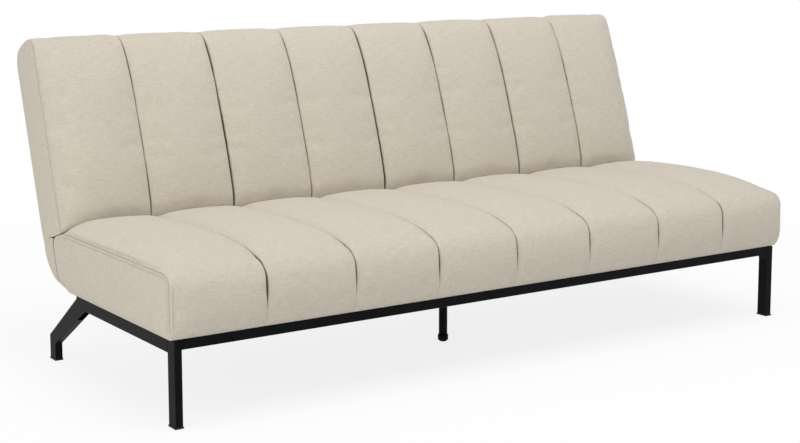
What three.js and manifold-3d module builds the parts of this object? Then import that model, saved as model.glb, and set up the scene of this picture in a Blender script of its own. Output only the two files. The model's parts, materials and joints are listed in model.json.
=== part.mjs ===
// Click clack sofa bed: a channel-stitched seat and back on a black steel frame.
// Millimetres. +Z is up, the sitter faces -Y, and +X is to the right as seen from the front.
// Until the last lines, Y is counted back from the front face of the steel frame.
// The back is drawn lying flat, in its own group at the hinge axis, and is then tilted up.

import * as THREE from 'three';
import { mergeVertices } from 'three/addons/utils/BufferGeometryUtils.js';
import Module from 'manifold-3d';

const wasm = await Module();
wasm.setup();

// Main sizes
const sofaHalfWidth = 985;
const frameTop = 209;
const sideRailEnd = 560;

// Steel frame
const frameInset = 15;
const tubeWidth = 20;
const tubeDepth = 35;
const tubeWall = 1.5;
const sideRailHeight = 35;
const frontRailHeight = 24;
const railEndLip = 11;
const strutRun = 53;
const rearLegReach = 185;
const kneeHeight = 65;
const kneeDrop = 19;
const centreLegY = 305;
const centreLegRadius = 11.8;
const centreFootRadius = 14.5;
const centreFootHeight = 22;
const centreFootRound = 5;
const glideHeight = 4;
const glideLip = 1;
const glidePlug = 12;

// Hinge
const pivotReach = 80;
const pivotRise = 113;
const backLean = 18.3;
const endClearance = 28;
const hingePlateThickness = 4;
const hubRadius = 25;
const seatHubRadius = 20;
const pivotRadius = 5;
const pivotPlay = 0.15;
const pivotHeadRadius = 9;
const pivotHeadHeight = 4;
const notchWidth = 9;
const notchDepth = 5;
const pawlReach = 30;
const pawlDrop = 10;
const pawlNose = 9;
const pawlWeb = 5;
const pawlTooth = 5;
const pawlLift = 0.9;
const pawlPinRadius = 3;
const pawlEyeRadius = 7;
const pawlSpringThickness = 0.8;
const pawlSpringLength = 34;
const pawlSpringBow = 6;
const screwRadius = 3;
const screwHeadRadius = 6;
const screwHeadHeight = 2.5;
const screwLength = 18;
const pawlRoom = 13;
const seatToeLength = 80;
const seatToeDrop = 46;
const seatToeHeight = 44;
const seatScrewShares = [[0.26, 0.32], [0.77, 0.68]];
const armToeReach = 84;
const armToeLength = 84;
const armToeDrop = 36;
const armToeHeight = 38;
const armScrewShares = [[0.24, 0.5], [0.76, 0.5]];
const armNeckAngles = [60, 310];

// Timber, springs and straps inside the cushions
const boardThickness = 20;
const seatBoardInset = 45;
const seatSideBoardThickness = 24;
const seatBoardHeight = 80;
const seatBoardFront = 5;
const seatBoardShort = 6;
const seatBoardHeel = 58;
const seatBoardHeelRise = 34;
const seatJoistX = 312;
const seatJoistHeight = 58;
const seatCoverThickness = 2;
const springCount = 5;
const springWire = 1.8;
const springHalfWidth = 24;
const springBends = 14;
const springArch = 8;
const backBoardHeight = 80;
const backBoardStart = 46;
const backBoardShort = 43;
const backCrossX = 312;
const strapCount = 3;
const strapWidth = 60;
const strapThickness = 1.5;
const backCoverThickness = 2;

// Seat cushion
const channelCount = 8;
const seatSeamRise = 153;
const seatFootDrawIn = 8;
const seatFrontSwell = 9;
const seatFrontCorner = 27;
const seatCrown = 49;
const seatFrontCrown = 22;
const seatCrownEase = 75;
const seatFallStart = 150;
const seatFallLength = 450;
const seatFallShare = 0.4;
const seatDrawInShare = 0.3;
const seatCreaseShort = 31;
const seatCreaseDrop = 3.2;
const seatRearRoll = 34;
const seatHeelHeight = 29;
const sidePanelSwell = 3;
const valleyShare = 0.82;
const channelPower = 4;
const endRollWidth = 90;

// Back cushion, measured from the hinge axis with the back lying flat
const backSeamHeight = 38;
const backLength = 548;
const backDepthBelow = 105;
const backTopBackRadius = 38;
const backTopFrontRadius = 23;
const backLowBackRadius = 12;
const backEndTaper = 3;
const backRearDrawIn = 6;
const backCrown = 53;
const backTopCrown = 5;
const backCrownEase = 75;
const backFallStart = 200;
const backFallLength = 170;
const backFallShare = 0.3;
const backLowRun = 32;

// Cloth cover behind the hinge
const hingeCoverThickness = 2;
const hingeCoverInset = 1;

// Clearances
const gap = 0.3;
const softGap = 1.5;
const slotPlay = 4;
const overrun = 20;
const weldDistance = 1e-4;

// How fine the round shapes are
const roundSides = 24;
const wireSides = 5;
const wireStepsPerBend = 3;
const screwSides = 10;
const arcSteps = 3;

const frameHalf = sofaHalfWidth - frameInset;
const strutShoulder = sideRailEnd - strutRun;
const rearLegBack = sideRailEnd + rearLegReach;
const pivotY = sideRailEnd + pivotReach;
const pivotZ = frameTop + pivotRise;
const seatSeamHeight = frameTop + seatSeamRise;
const seatCreaseY = pivotY - seatCreaseShort;
const seatHeelZ = frameTop + seatHeelHeight;
const seatRearBoardY = pivotY - pawlReach - pawlEyeRadius - pawlRoom - boardThickness;
const seatToeStart = seatRearBoardY + (boardThickness - seatToeLength) / 2;
const seatBoardInner = sofaHalfWidth - seatBoardInset;
const seatBoardRear = pivotY - seatBoardShort;
const lean = THREE.MathUtils.degToRad(backLean);
const flatTurn = Math.PI / 2 - lean;
const sides = { left: -1, right: 1 };

const blackSteel = new THREE.MeshStandardMaterial({ color: 0x131516, roughness: 0.55, metalness: 0.3 });
const zincSteel = new THREE.MeshStandardMaterial({ color: 0x9a9c98, roughness: 0.4, metalness: 0.9 });
const springSteel = new THREE.MeshStandardMaterial({ color: 0x5a5c5c, roughness: 0.45, metalness: 0.8 });
const blackPlastic = new THREE.MeshStandardMaterial({ color: 0x0c0c0c, roughness: 0.7, metalness: 0 });
const timber = new THREE.MeshStandardMaterial({ color: 0xc9a877, roughness: 0.8, metalness: 0 });
const linen = new THREE.MeshStandardMaterial({ color: 0xd3c9ba, roughness: 0.95, metalness: 0 });
const blackCloth = new THREE.MeshStandardMaterial({ color: 0x1b1b1c, roughness: 0.95, metalness: 0 });
const webbing = new THREE.MeshStandardMaterial({ color: 0x2b2a28, roughness: 0.9, metalness: 0 });

const sofa = new THREE.Group();
const backGroup = new THREE.Group();
backGroup.position.set(0, pivotY, pivotZ);
backGroup.rotation.x = flatTurn;
sofa.add(backGroup);

// Shape helpers

function addPiece(parent, name, geometry, material) {
  const mesh = new THREE.Mesh(geometry, material);
  mesh.name = name;
  parent.add(mesh);
  return mesh;
}

function toSolid(geometry) {
  const bare = geometry.clone();
  bare.deleteAttribute('normal');
  bare.deleteAttribute('uv');
  const merged = mergeVertices(bare, weldDistance);
  return new wasm.Manifold(new wasm.Mesh({
    numProp: 3,
    vertProperties: new Float32Array(merged.attributes.position.array),
    triVerts: new Uint32Array(merged.index.array),
  }));
}

function toGeometry(solid) {
  const mesh = solid.getMesh();
  const geometry = new THREE.BufferGeometry();
  geometry.setAttribute('position', new THREE.BufferAttribute(new Float32Array(mesh.vertProperties), 3));
  geometry.setIndex(new THREE.BufferAttribute(new Uint32Array(mesh.triVerts), 1));
  geometry.computeVertexNormals();
  return geometry;
}

function block(x, y, z) {
  const low = [x, y, z].map((span) => Math.min(...span));
  const size = [x, y, z].map((span) => Math.abs(span[1] - span[0]));
  const geometry = new THREE.BoxGeometry(...size);
  return geometry.translate(...low.map((value, axis) => value + size[axis] / 2));
}

// An outline in Y and Z, drawn out along X between two places
function plateAlongX(outline, x, holes = []) {
  const shape = new THREE.Shape(outline.map(([y, z]) => new THREE.Vector2(y, z)));
  shape.holes = holes.map((hole) => new THREE.Path(hole.map(([y, z]) => new THREE.Vector2(y, z))));
  const low = Math.min(...x);
  const geometry = new THREE.ExtrudeGeometry(shape, { depth: Math.max(...x) - low, bevelEnabled: false });
  const turn = new THREE.Matrix4().makeBasis(
    new THREE.Vector3(0, 1, 0),
    new THREE.Vector3(0, 0, 1),
    new THREE.Vector3(1, 0, 0),
  );
  return geometry.applyMatrix4(turn).translate(low, 0, 0);
}

function rodAlongX(radius, x, y, z) {
  return plateAlongX(circle(y, z, radius), x);
}

function circle(y, z, radius, steps = roundSides) {
  return Array.from({ length: steps }, (_, i) => {
    const angle = (2 * Math.PI * i) / steps;
    return [y + radius * Math.cos(angle), z + radius * Math.sin(angle)];
  });
}

function arc(y, z, radius, from, to, steps = arcSteps) {
  return Array.from({ length: steps + 1 }, (_, i) => {
    const angle = THREE.MathUtils.degToRad(from + ((to - from) * i) / steps);
    return [y + radius * Math.cos(angle), z + radius * Math.sin(angle)];
  });
}

// A stretch between two places, on the left or the right side of the sofa
function spanOn(side, inner, outer) {
  return [sides[side] * inner, sides[side] * outer];
}

// The convex outline round a set of points
function hullOutline(points) {
  const sorted = [...points].sort((a, b) => a[0] - b[0] || a[1] - b[1]);
  const turnsRight = (a, b, c) => (b[0] - a[0]) * (c[1] - a[1]) - (b[1] - a[1]) * (c[0] - a[0]) <= 0;
  const half = (list) => list.reduce((hull, point) => {
    while (hull.length > 1 && turnsRight(hull.at(-2), hull.at(-1), point)) hull.pop();
    hull.push(point);
    return hull;
  }, []);
  const lower = half(sorted);
  const upper = half([...sorted].reverse());
  return [...lower.slice(0, -1), ...upper.slice(0, -1)];
}

function rectangle(y, z) {
  return [[y[0], z[0]], [y[1], z[0]], [y[1], z[1]], [y[0], z[1]]];
}

function insetRectangle(y, z, inset) {
  return rectangle([y[0] + inset, y[1] - inset], [z[0] + inset, z[1] - inset]);
}

// Steel frame

function tubeAlongX(x, y, z) {
  return plateAlongX(rectangle(y, z), x, [insetRectangle(y, z, tubeWall).reverse()]);
}

// A tube of any outline in the side plane, bored through between two of its ends
function boredTube(side, outline, bore) {
  const outer = toSolid(plateAlongX(outline, spanOn(side, frameHalf - tubeWidth, frameHalf)));
  const inner = plateAlongX(bore, spanOn(side, frameHalf - tubeWidth + tubeWall, frameHalf - tubeWall));
  return toGeometry(outer.subtract(toSolid(inner)));
}

function addFrontLeg(side) {
  const y = [0, tubeDepth];
  const z = [glideHeight + gap, frameTop];
  const outline = rectangle(y, z);
  const bore = rectangle([tubeWall, tubeDepth - tubeWall], [z[0] - overrun, z[1] - tubeWall]);
  addPiece(sofa, `front_leg_${side}`, boredTube(side, outline, bore), blackSteel);
}

function addSideRail(side) {
  const bottom = frameTop - sideRailHeight;
  const front = tubeDepth + gap;
  const outline = [
    [front, bottom],
    [strutShoulder, bottom],
    [sideRailEnd, frameTop - railEndLip],
    [sideRailEnd, frameTop],
    [front, frameTop],
  ];
  const bore = rectangle([front - overrun, sideRailEnd - tubeWall], [bottom + tubeWall, frameTop - tubeWall]);
  addPiece(sofa, `side_rail_${side}`, boredTube(side, outline, bore), blackSteel);
}

function addRearLeg(side) {
  const railBottom = frameTop - sideRailHeight;
  const lipZ = frameTop - railEndLip;
  const foot = glideHeight + gap;
  const inner = rearLegBack - tubeDepth;
  const outline = [
    [strutShoulder, railBottom - gap],
    [inner, kneeHeight - kneeDrop],
    [inner, foot],
    [rearLegBack, foot],
    [rearLegBack, kneeHeight],
    [sideRailEnd, lipZ - gap],
  ];
  const shoulderInset = 2 * tubeWall;
  const bore = [
    [strutShoulder + shoulderInset, railBottom + overrun],
    [strutShoulder + shoulderInset, railBottom - shoulderInset],
    [inner + tubeWall, kneeHeight - kneeDrop + tubeWall],
    [inner + tubeWall, foot - overrun],
    [rearLegBack - tubeWall, foot - overrun],
    [rearLegBack - tubeWall, kneeHeight - tubeWall],
    [sideRailEnd, lipZ - shoulderInset],
    [sideRailEnd - overrun, lipZ + overrun],
  ];
  addPiece(sofa, `rear_leg_${side}`, boredTube(side, outline, bore), blackSteel);
}

function addGlide(name, side, y) {
  const rim = block(
    spanOn(side, frameHalf - tubeWidth - glideLip, frameHalf + glideLip),
    [y[0] - glideLip, y[1] + glideLip],
    [0, glideHeight],
  );
  const inset = tubeWall + gap;
  const plug = block(
    spanOn(side, frameHalf - tubeWidth + inset, frameHalf - inset),
    [y[0] + inset, y[1] - inset],
    [glideHeight / 2, glideHeight + glidePlug],
  );
  addPiece(sofa, name, toGeometry(toSolid(rim).add(toSolid(plug))), blackPlastic);
}

function addCrossRails() {
  const innerHalf = frameHalf - tubeWidth - gap;
  const railZ = [frameTop - frontRailHeight, frameTop];
  const rearY = [sideRailEnd - tubeDepth, sideRailEnd];
  const across = [-innerHalf, innerHalf];
  addPiece(sofa, 'front_rail', tubeAlongX(across, [0, tubeDepth], railZ), blackSteel);
  addPiece(sofa, 'rear_rail', tubeAlongX(across, rearY, railZ), blackSteel);
  const centreLength = rearY[0] - tubeDepth - 2 * gap;
  const x = [-tubeDepth / 2, tubeDepth / 2];
  const tube = plateAlongX(
    rectangle(x, railZ),
    [0, centreLength],
    [insetRectangle(x, railZ, tubeWall).reverse()],
  );
  const alongY = tube.rotateZ(Math.PI / 2).translate(0, tubeDepth + gap, 0);
  addPiece(sofa, 'centre_rail', alongY, blackSteel);
}

function addCentreLeg() {
  const footTop = centreFootHeight;
  const plugTop = footTop + glidePlug;
  const legTop = frameTop - frontRailHeight - gap;
  const bore = centreLegRadius - tubeWall;
  const leg = [
    [bore, footTop + gap],
    [centreLegRadius, footTop + gap],
    [centreLegRadius, legTop],
    [bore, legTop],
    [bore, footTop + gap],
  ];
  const foot = [
    [0, 0],
    [centreFootRadius - centreFootRound, 0],
    [centreFootRadius, centreFootRound],
    [centreFootRadius, footTop - centreFootRound],
    [centreLegRadius, footTop],
    [bore - gap, footTop],
    [bore - gap, plugTop],
    [0, plugTop],
  ];
  const turned = (profile) => new THREE.LatheGeometry(
    profile.map(([radius, height]) => new THREE.Vector2(radius, height)),
    roundSides,
  ).rotateX(Math.PI / 2).translate(0, centreLegY, 0);
  addPiece(sofa, 'centre_leg', turned(leg), blackSteel);
  addPiece(sofa, 'centre_leg_foot', turned(foot), blackPlastic);
}

function addSteelFrame() {
  addCrossRails();
  addCentreLeg();
  for (const side of Object.keys(sides)) {
    addFrontLeg(side);
    addSideRail(side);
    addRearLeg(side);
    addGlide(`front_glide_${side}`, side, [0, tubeDepth]);
    addGlide(`rear_glide_${side}`, side, [rearLegBack - tubeDepth, rearLegBack]);
  }
}

// Timber frame and springs of the seat

const seatFloor = frameTop + gap;
const seatBoardTop = seatFloor + seatBoardHeight;
const seatBoardOuter = seatBoardInner + seatSideBoardThickness;
const seatFrontBoardRear = seatBoardFront + boardThickness;

function seatSideBoardOutline() {
  return [
    [seatBoardFront, seatFloor],
    [seatBoardRear - seatBoardHeel, seatFloor],
    [seatBoardRear, seatFloor + seatBoardHeelRise],
    [seatBoardRear, seatBoardTop],
    [seatBoardFront, seatBoardTop],
  ];
}

function addSeatTimber() {
  const across = [-seatBoardInner + gap, seatBoardInner - gap];
  const z = [seatFloor, seatBoardTop];
  addPiece(sofa, 'seat_front_board', block(across, [seatBoardFront, seatFrontBoardRear], z), timber);
  const rearY = [seatRearBoardY, seatRearBoardY + boardThickness];
  const betweenPlates = plateInner - gap;
  addPiece(sofa, 'seat_rear_board', block([-betweenPlates, betweenPlates], rearY, z), timber);
  for (const side of Object.keys(sides)) {
    const holes = seatScrewPlaces.map((place) => holeAt(place, screwRadius + gap, screwSides));
    const board = plateAlongX(seatSideBoardOutline(), spanOn(side, seatBoardInner, seatBoardOuter), holes);
    addPiece(sofa, `seat_side_board_${side}`, board, timber);
    const joistZ = seatFloor + seatCoverThickness + 2 * gap;
    const joist = block(
      spanOn(side, seatJoistX - boardThickness / 2, seatJoistX + boardThickness / 2),
      [seatFrontBoardRear + gap, seatRearBoardY - gap],
      [joistZ, joistZ + seatJoistHeight],
    );
    addPiece(sofa, `seat_joist_${side}`, joist, timber);
  }
  const cover = block(
    [-seatBoardInner + 2 * gap, seatBoardInner - 2 * gap],
    [seatFrontBoardRear + gap, seatRearBoardY - gap],
    [seatFloor + gap, seatFloor + gap + seatCoverThickness],
  );
  addPiece(sofa, 'seat_dust_cover', cover, blackCloth);
}

class ZigzagPath extends THREE.Curve {
  constructor(x, from, to, z) {
    super();
    Object.assign(this, { x, from, to, z });
  }

  getPoint(t, target = new THREE.Vector3()) {
    const swing = springHalfWidth * Math.sin(Math.PI * springBends * t);
    const arch = springArch * Math.sin(Math.PI * t);
    return target.set(this.x + swing, THREE.MathUtils.lerp(this.from, this.to, t), this.z + arch);
  }
}

function wireAlong(path, steps) {
  const section = new THREE.Shape(circle(0, 0, springWire, wireSides).map(([a, b]) => new THREE.Vector2(a, b)));
  return new THREE.ExtrudeGeometry(section, { steps, extrudePath: path, bevelEnabled: false });
}

function addSeatSprings() {
  const from = seatBoardFront + boardThickness / 2;
  const to = seatRearBoardY + boardThickness / 2;
  const z = seatBoardTop + springWire + gap;
  for (let i = 0; i < springCount; i += 1) {
    const x = seatBoardInner * ((2 * i + 1) / springCount - 1);
    const path = new ZigzagPath(x, from, to, z);
    addPiece(sofa, `seat_spring_${i + 1}`, wireAlong(path, springBends * wireStepsPerBend), springSteel);
  }
}

// Timber frame and straps of the back, lying flat

const backFloor = -backDepthBelow;
const backBoardLow = backFloor + backCoverThickness + 2 * gap;
const backBoardTop = backBoardLow + backBoardHeight;
const backBoardEnd = backLength - backBoardShort;
const backBoardInner = seatBoardInner - hingePlateThickness - gap;
const backBoardOuter = backBoardInner + boardThickness;

function addBackTimber() {
  const z = [backBoardLow, backBoardTop];
  const across = [-backBoardInner + gap, backBoardInner - gap];
  const low = [backBoardStart, backBoardStart + boardThickness];
  const high = [backBoardEnd - boardThickness, backBoardEnd];
  const betweenArms = armInner - gap;
  addPiece(backGroup, 'back_bottom_board', block([-betweenArms, betweenArms], low, z), timber);
  addPiece(backGroup, 'back_top_board', block(across, high, z), timber);
  for (const side of Object.keys(sides)) {
    const outline = rectangle([backBoardStart, backBoardEnd], z);
    const holes = armScrewPlaces.map((place) => holeAt(place, screwRadius + gap, screwSides));
    const board = plateAlongX(outline, spanOn(side, backBoardInner, backBoardOuter), holes);
    addPiece(backGroup, `back_side_board_${side}`, board, timber);
    const cross = block(
      spanOn(side, backCrossX - boardThickness / 2, backCrossX + boardThickness / 2),
      [low[1] + gap, high[0] - gap],
      z,
    );
    addPiece(backGroup, `back_cross_board_${side}`, cross, timber);
  }
}

function addBackStraps() {
  const z = [backBoardTop + gap, backBoardTop + gap + strapThickness];
  const room = backBoardEnd - backBoardStart - 2 * boardThickness;
  for (let i = 0; i < strapCount; i += 1) {
    const y = backBoardStart + boardThickness + (room * (i + 1)) / (strapCount + 1);
    const strap = block([-backBoardOuter, backBoardOuter], [y - strapWidth / 2, y + strapWidth / 2], z);
    addPiece(backGroup, `back_strap_${i + 1}`, strap, webbing);
  }
}

// Hinges. The arm is drawn with the back lying flat, the rest as it stands.

const plateOuter = seatBoardInner - gap;
const plateInner = plateOuter - hingePlateThickness;
const armOuter = plateInner - gap;
const armInner = armOuter - hingePlateThickness;
const travel = THREE.MathUtils.radToDeg(flatTurn);
const seatToeY = [seatToeStart, seatToeStart + seatToeLength];
const seatToeZ = [pivotZ - seatToeDrop - seatToeHeight, pivotZ - seatToeDrop];
const armToeY = [armToeReach, armToeReach + armToeLength];
const armToeZ = [-armToeDrop - armToeHeight, -armToeDrop];
const seatScrewPlaces = placesIn(seatToeY, seatToeZ, seatScrewShares);
const armScrewPlaces = placesIn(armToeY, armToeZ, armScrewShares);
const toothTop = pivotZ - hubRadius - pawlLift;
const pawlPinY = pivotY - pawlReach;
const pawlPinZ = toothTop - pawlDrop;

function placesIn(y, z, shares) {
  return shares.map(([along, up]) => [
    THREE.MathUtils.lerp(y[0], y[1], along),
    THREE.MathUtils.lerp(z[0], z[1], up),
  ]);
}

// The hub's rim, with a notch for sitting, one for lounging and one for lying flat
function notchedRim() {
  const half = THREE.MathUtils.radToDeg(Math.asin(notchWidth / 2 / hubRadius));
  const centres = [1, 0.5, 0].map((share) => 270 - travel * share);
  const rim = arc(0, 0, hubRadius, armNeckAngles[0], centres[0] - half, 2 * arcSteps);
  for (const centre of centres) {
    const [start, end] = arc(0, 0, hubRadius, centre - half, centre + half, 1);
    rim.push(start, ...arc(0, 0, hubRadius - notchDepth, centre - half, centre + half, 1), end);
  }
  const rest = arc(0, 0, hubRadius, centres.at(-1) + half, armNeckAngles[1]);
  return [...rim.slice(0, 2 * arcSteps), ...rim.slice(2 * arcSteps + 1), ...rest.slice(1)];
}

function holeAt([y, z], radius, steps = roundSides) {
  return circle(y, z, radius + pivotPlay, steps).reverse();
}

function addScrews(parent, name, side, headEnd, places) {
  places.forEach(([y, z], i) => {
    const shankEnd = headEnd + screwLength;
    const shank = plateAlongX(circle(y, z, screwRadius, screwSides), spanOn(side, headEnd, shankEnd));
    const headSpan = spanOn(side, headEnd - screwHeadHeight, headEnd);
    const head = plateAlongX(circle(y, z, screwHeadRadius, screwSides), headSpan);
    addPiece(parent, `${name}_${side}_${i + 1}`, toGeometry(toSolid(shank).add(toSolid(head))), zincSteel);
  });
}

function addBackArm(side) {
  const toe = rectangle(armToeY, armToeZ);
  const holes = [
    holeAt([0, 0], pivotRadius),
    ...armScrewPlaces.map((place) => holeAt(place, screwRadius, screwSides)),
  ];
  const arm = plateAlongX([...notchedRim(), ...toe], spanOn(side, armInner, armOuter), holes);
  addPiece(backGroup, `hinge_back_arm_${side}`, arm, zincSteel);
  addScrews(backGroup, 'back_hinge_screw', side, armInner - gap, armScrewPlaces);
}

function addSeatPlate(side) {
  const outline = hullOutline([
    ...circle(pivotY, pivotZ, seatHubRadius),
    ...circle(pawlPinY, pawlPinZ, pawlEyeRadius),
    ...rectangle(seatToeY, seatToeZ),
  ]);
  const holes = [
    holeAt([pivotY, pivotZ], pivotRadius),
    ...seatScrewPlaces.map((place) => holeAt(place, screwRadius, screwSides)),
  ];
  const plate = toSolid(plateAlongX(outline, spanOn(side, plateInner, plateOuter), holes));
  const pin = rodAlongX(pawlPinRadius, spanOn(side, armInner, plateOuter), pawlPinY, pawlPinZ);
  addPiece(sofa, `hinge_seat_plate_${side}`, toGeometry(plate.add(toSolid(pin))), zincSteel);
  addScrews(sofa, 'seat_hinge_screw', side, plateInner - gap, seatScrewPlaces);
}

function addPivot(side) {
  const innerFace = armInner - gap;
  const outerFace = plateOuter + gap;
  const rod = (radius, from, to) => toSolid(rodAlongX(radius, spanOn(side, from, to), pivotY, pivotZ));
  const rivet = rod(pivotRadius, innerFace, outerFace)
    .add(rod(pivotHeadRadius, innerFace - pivotHeadHeight, innerFace))
    .add(rod(pivotHeadRadius, outerFace, outerFace + pivotHeadHeight));
  addPiece(sofa, `hinge_pivot_${side}`, toGeometry(rivet), zincSteel);
}

function addPawl(side) {
  const body = hullOutline([
    ...circle(pawlPinY, pawlPinZ, pawlEyeRadius),
    ...rectangle(
      [pivotY - pawlNose / 2, pivotY + pawlNose / 2],
      [pawlPinZ - pawlWeb / 2, pawlPinZ + pawlWeb / 2],
    ),
  ]);
  const span = spanOn(side, armInner, armOuter);
  const tooth = rectangle([pivotY - pawlTooth / 2, pivotY + pawlTooth / 2], [pawlPinZ, toothTop]);
  const lever = toSolid(plateAlongX(body, span, [holeAt([pawlPinY, pawlPinZ], pawlPinRadius)]));
  addPiece(sofa, `hinge_pawl_${side}`, toGeometry(lever.add(toSolid(plateAlongX(tooth, span)))), zincSteel);
}

// A bowed leaf that rests under the nose of the pawl
function addPawlSpring(side) {
  const shares = [0, 0.25, 0.5, 0.75, 1];
  const top = pawlPinZ - pawlWeb / 2 - pawlSpringThickness - gap;
  const lower = shares.map((share) => [
    pivotY - pawlSpringLength * (1 - share),
    top - pawlSpringThickness - pawlSpringBow * (1 - share ** 2),
  ]);
  const upper = lower.map(([y, z]) => [y, z + pawlSpringThickness]).reverse();
  const leaf = plateAlongX([...lower, ...upper], spanOn(side, armInner, armOuter));
  addPiece(sofa, `hinge_pawl_spring_${side}`, leaf, springSteel);
}

function addHinge(side) {
  addBackArm(side);
  addSeatPlate(side);
  addPivot(side);
  addPawl(side);
  addPawlSpring(side);
}

// Cushions

// A closed skin through rings that all have the same number of points
function loft(rings) {
  const count = rings[0].length;
  const index = [];
  for (let i = 0; i < rings.length - 1; i += 1) {
    for (let j = 0; j < count; j += 1) {
      const a = i * count + j;
      const b = i * count + ((j + 1) % count);
      index.push(a, b, b + count, a, b + count, a + count);
    }
  }
  const outline = rings[0].map(([, y, z]) => new THREE.Vector2(y, z));
  const last = (rings.length - 1) * count;
  for (const [a, b, c] of THREE.ShapeUtils.triangulateShape(outline, [])) {
    index.push(c, b, a, last + a, last + b, last + c);
  }
  const geometry = new THREE.BufferGeometry();
  geometry.setAttribute('position', new THREE.Float32BufferAttribute(rings.flat(2), 3));
  geometry.setIndex(index);
  return geometry;
}

const channelPitch = (2 * sofaHalfWidth) / channelCount;
const endStationShares = [0, 0.03, 0.12, 0.36, 0.7, 0.9];
const channelStationShares = [0, 0.12, 0.5, 0.88];
const endPanelShare = 0.7;

// Places across the width where the padding's section is drawn, close together at the ends
function stations() {
  const left = endStationShares.map((share) => share * channelPitch - sofaHalfWidth);
  const middle = [];
  for (let channel = 1; channel < channelCount - 1; channel += 1) {
    for (const share of channelStationShares) middle.push((channel + share) * channelPitch - sofaHalfWidth);
  }
  const right = left.map((x) => -x).reverse();
  return [...left, ...middle, sofaHalfWidth - channelPitch, ...right];
}

// How full the padding is at a place across the width: 0 at the side seam, 1 in mid channel
function fullness(x) {
  const fromEnd = sofaHalfWidth - Math.abs(x);
  const roll = fromEnd < endRollWidth ? Math.sqrt(1 - (1 - fromEnd / endRollWidth) ** 2) : 1;
  const inChannel = (fromEnd / channelPitch) % 1;
  const outerHalf = fromEnd < channelPitch / 2;
  const swell = outerHalf ? 1 : 1 - Math.abs(2 * inChannel - 1) ** channelPower;
  return roll * (valleyShare + (1 - valleyShare) * swell);
}

// Sections along the width, drawn in at the ends, with a swollen end panel
function paddedForm(section, drawIn) {
  const rings = stations().map((x) => {
    const near = Math.max(0, 1 - (sofaHalfWidth - Math.abs(x)) / endRollWidth) ** 2;
    return section(fullness(x)).map(([y, z]) => [x - Math.sign(x) * near * drawIn(z), y, z]);
  });
  const panel = (ring) => {
    const middleY = ring.reduce((sum, [, y]) => sum + y, 0) / ring.length;
    const middleZ = ring.reduce((sum, [, , z]) => sum + z, 0) / ring.length;
    return ring.map(([x, y, z]) => [
      x + Math.sign(x) * sidePanelSwell,
      middleY + (y - middleY) * endPanelShare,
      middleZ + (z - middleZ) * endPanelShare,
    ]);
  };
  return toSolid(loft([panel(rings[0]), ...rings, panel(rings.at(-1))]));
}

// Seat section, from the foot of its front round over the top and down the rear
const seatFrontShares = [[0, 0], [0.1, 0.62], [0.27, 0.95], [0.5, 1], [0.71, 0.95]];
const seatCornerShares = [[0.85, 0.03], [0.62, 0.1], [0.35, 0.17], [0.05, 0.23]];
const seatTopShares = [0.07, 0.13, 0.21, 0.33, 0.48, 0.64, 0.79, 0.9];
const seatRollShares = [[1, 0.92], [0.76, 0.75], [0.63, 0.47], [0.38, 0.19], [0, 0]];
const seatHeelShares = [[1, 1], [0.8, 0.61], [0.55, 0.4], [0.375, 0.18], [0, 0]];

function seatRise(y) {
  const fall = Math.max(0, y - seatFallStart) / seatFallLength;
  return seatCrown * (1 - Math.exp(-y / seatCrownEase)) * (1 - seatFallShare * fall ** 2);
}

function seatSection(full) {
  const padHeight = seatSeamHeight - seatFloor;
  const bulge = seatFrontSwell + full * seatFrontCrown;
  const front = seatFrontShares.map(([height, out]) => [-bulge * out, seatFloor + padHeight * height]);
  const cornerY = seatFrontCorner - seatFrontSwell;
  const corner = arc(cornerY, seatSeamHeight - seatFrontCorner, seatFrontCorner, 180, 90)
    .map(([y, z], i) => [
      y - full * seatFrontCrown * seatCornerShares[i][0],
      z + full * seatCrown * seatCornerShares[i][1],
    ]);
  const top = seatTopShares.map((share) => {
    const y = share * seatCreaseY;
    return [y, seatSeamHeight + full * seatRise(y)];
  });
  const rollRise = seatRise(seatCreaseY - seatRearRoll);
  const roll = seatRollShares.map(([back, rise]) => [
    seatCreaseY - seatRearRoll * back,
    seatSeamHeight - seatCreaseDrop * (1 - back) ** 2 + full * rollRise * rise,
  ]);
  const heelRun = pivotY - sideRailEnd;
  const heelRise = seatHeelZ - seatFloor;
  const heel = seatHeelShares.map(([run, rise]) => [sideRailEnd + heelRun * run, seatFloor + heelRise * rise]);
  const round = arc(pivotY, pivotZ, endClearance - softGap, travel, 0);
  return [...front, ...corner, ...top, ...roll, ...round, ...heel].reverse();
}

function seatDrawIn(z) {
  const height = (z - seatFloor) / (seatSeamHeight - seatFloor);
  const share = Math.min(1, height / seatDrawInShare);
  return seatFootDrawIn * (1 - Math.sin((Math.PI / 2) * share));
}

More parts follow.
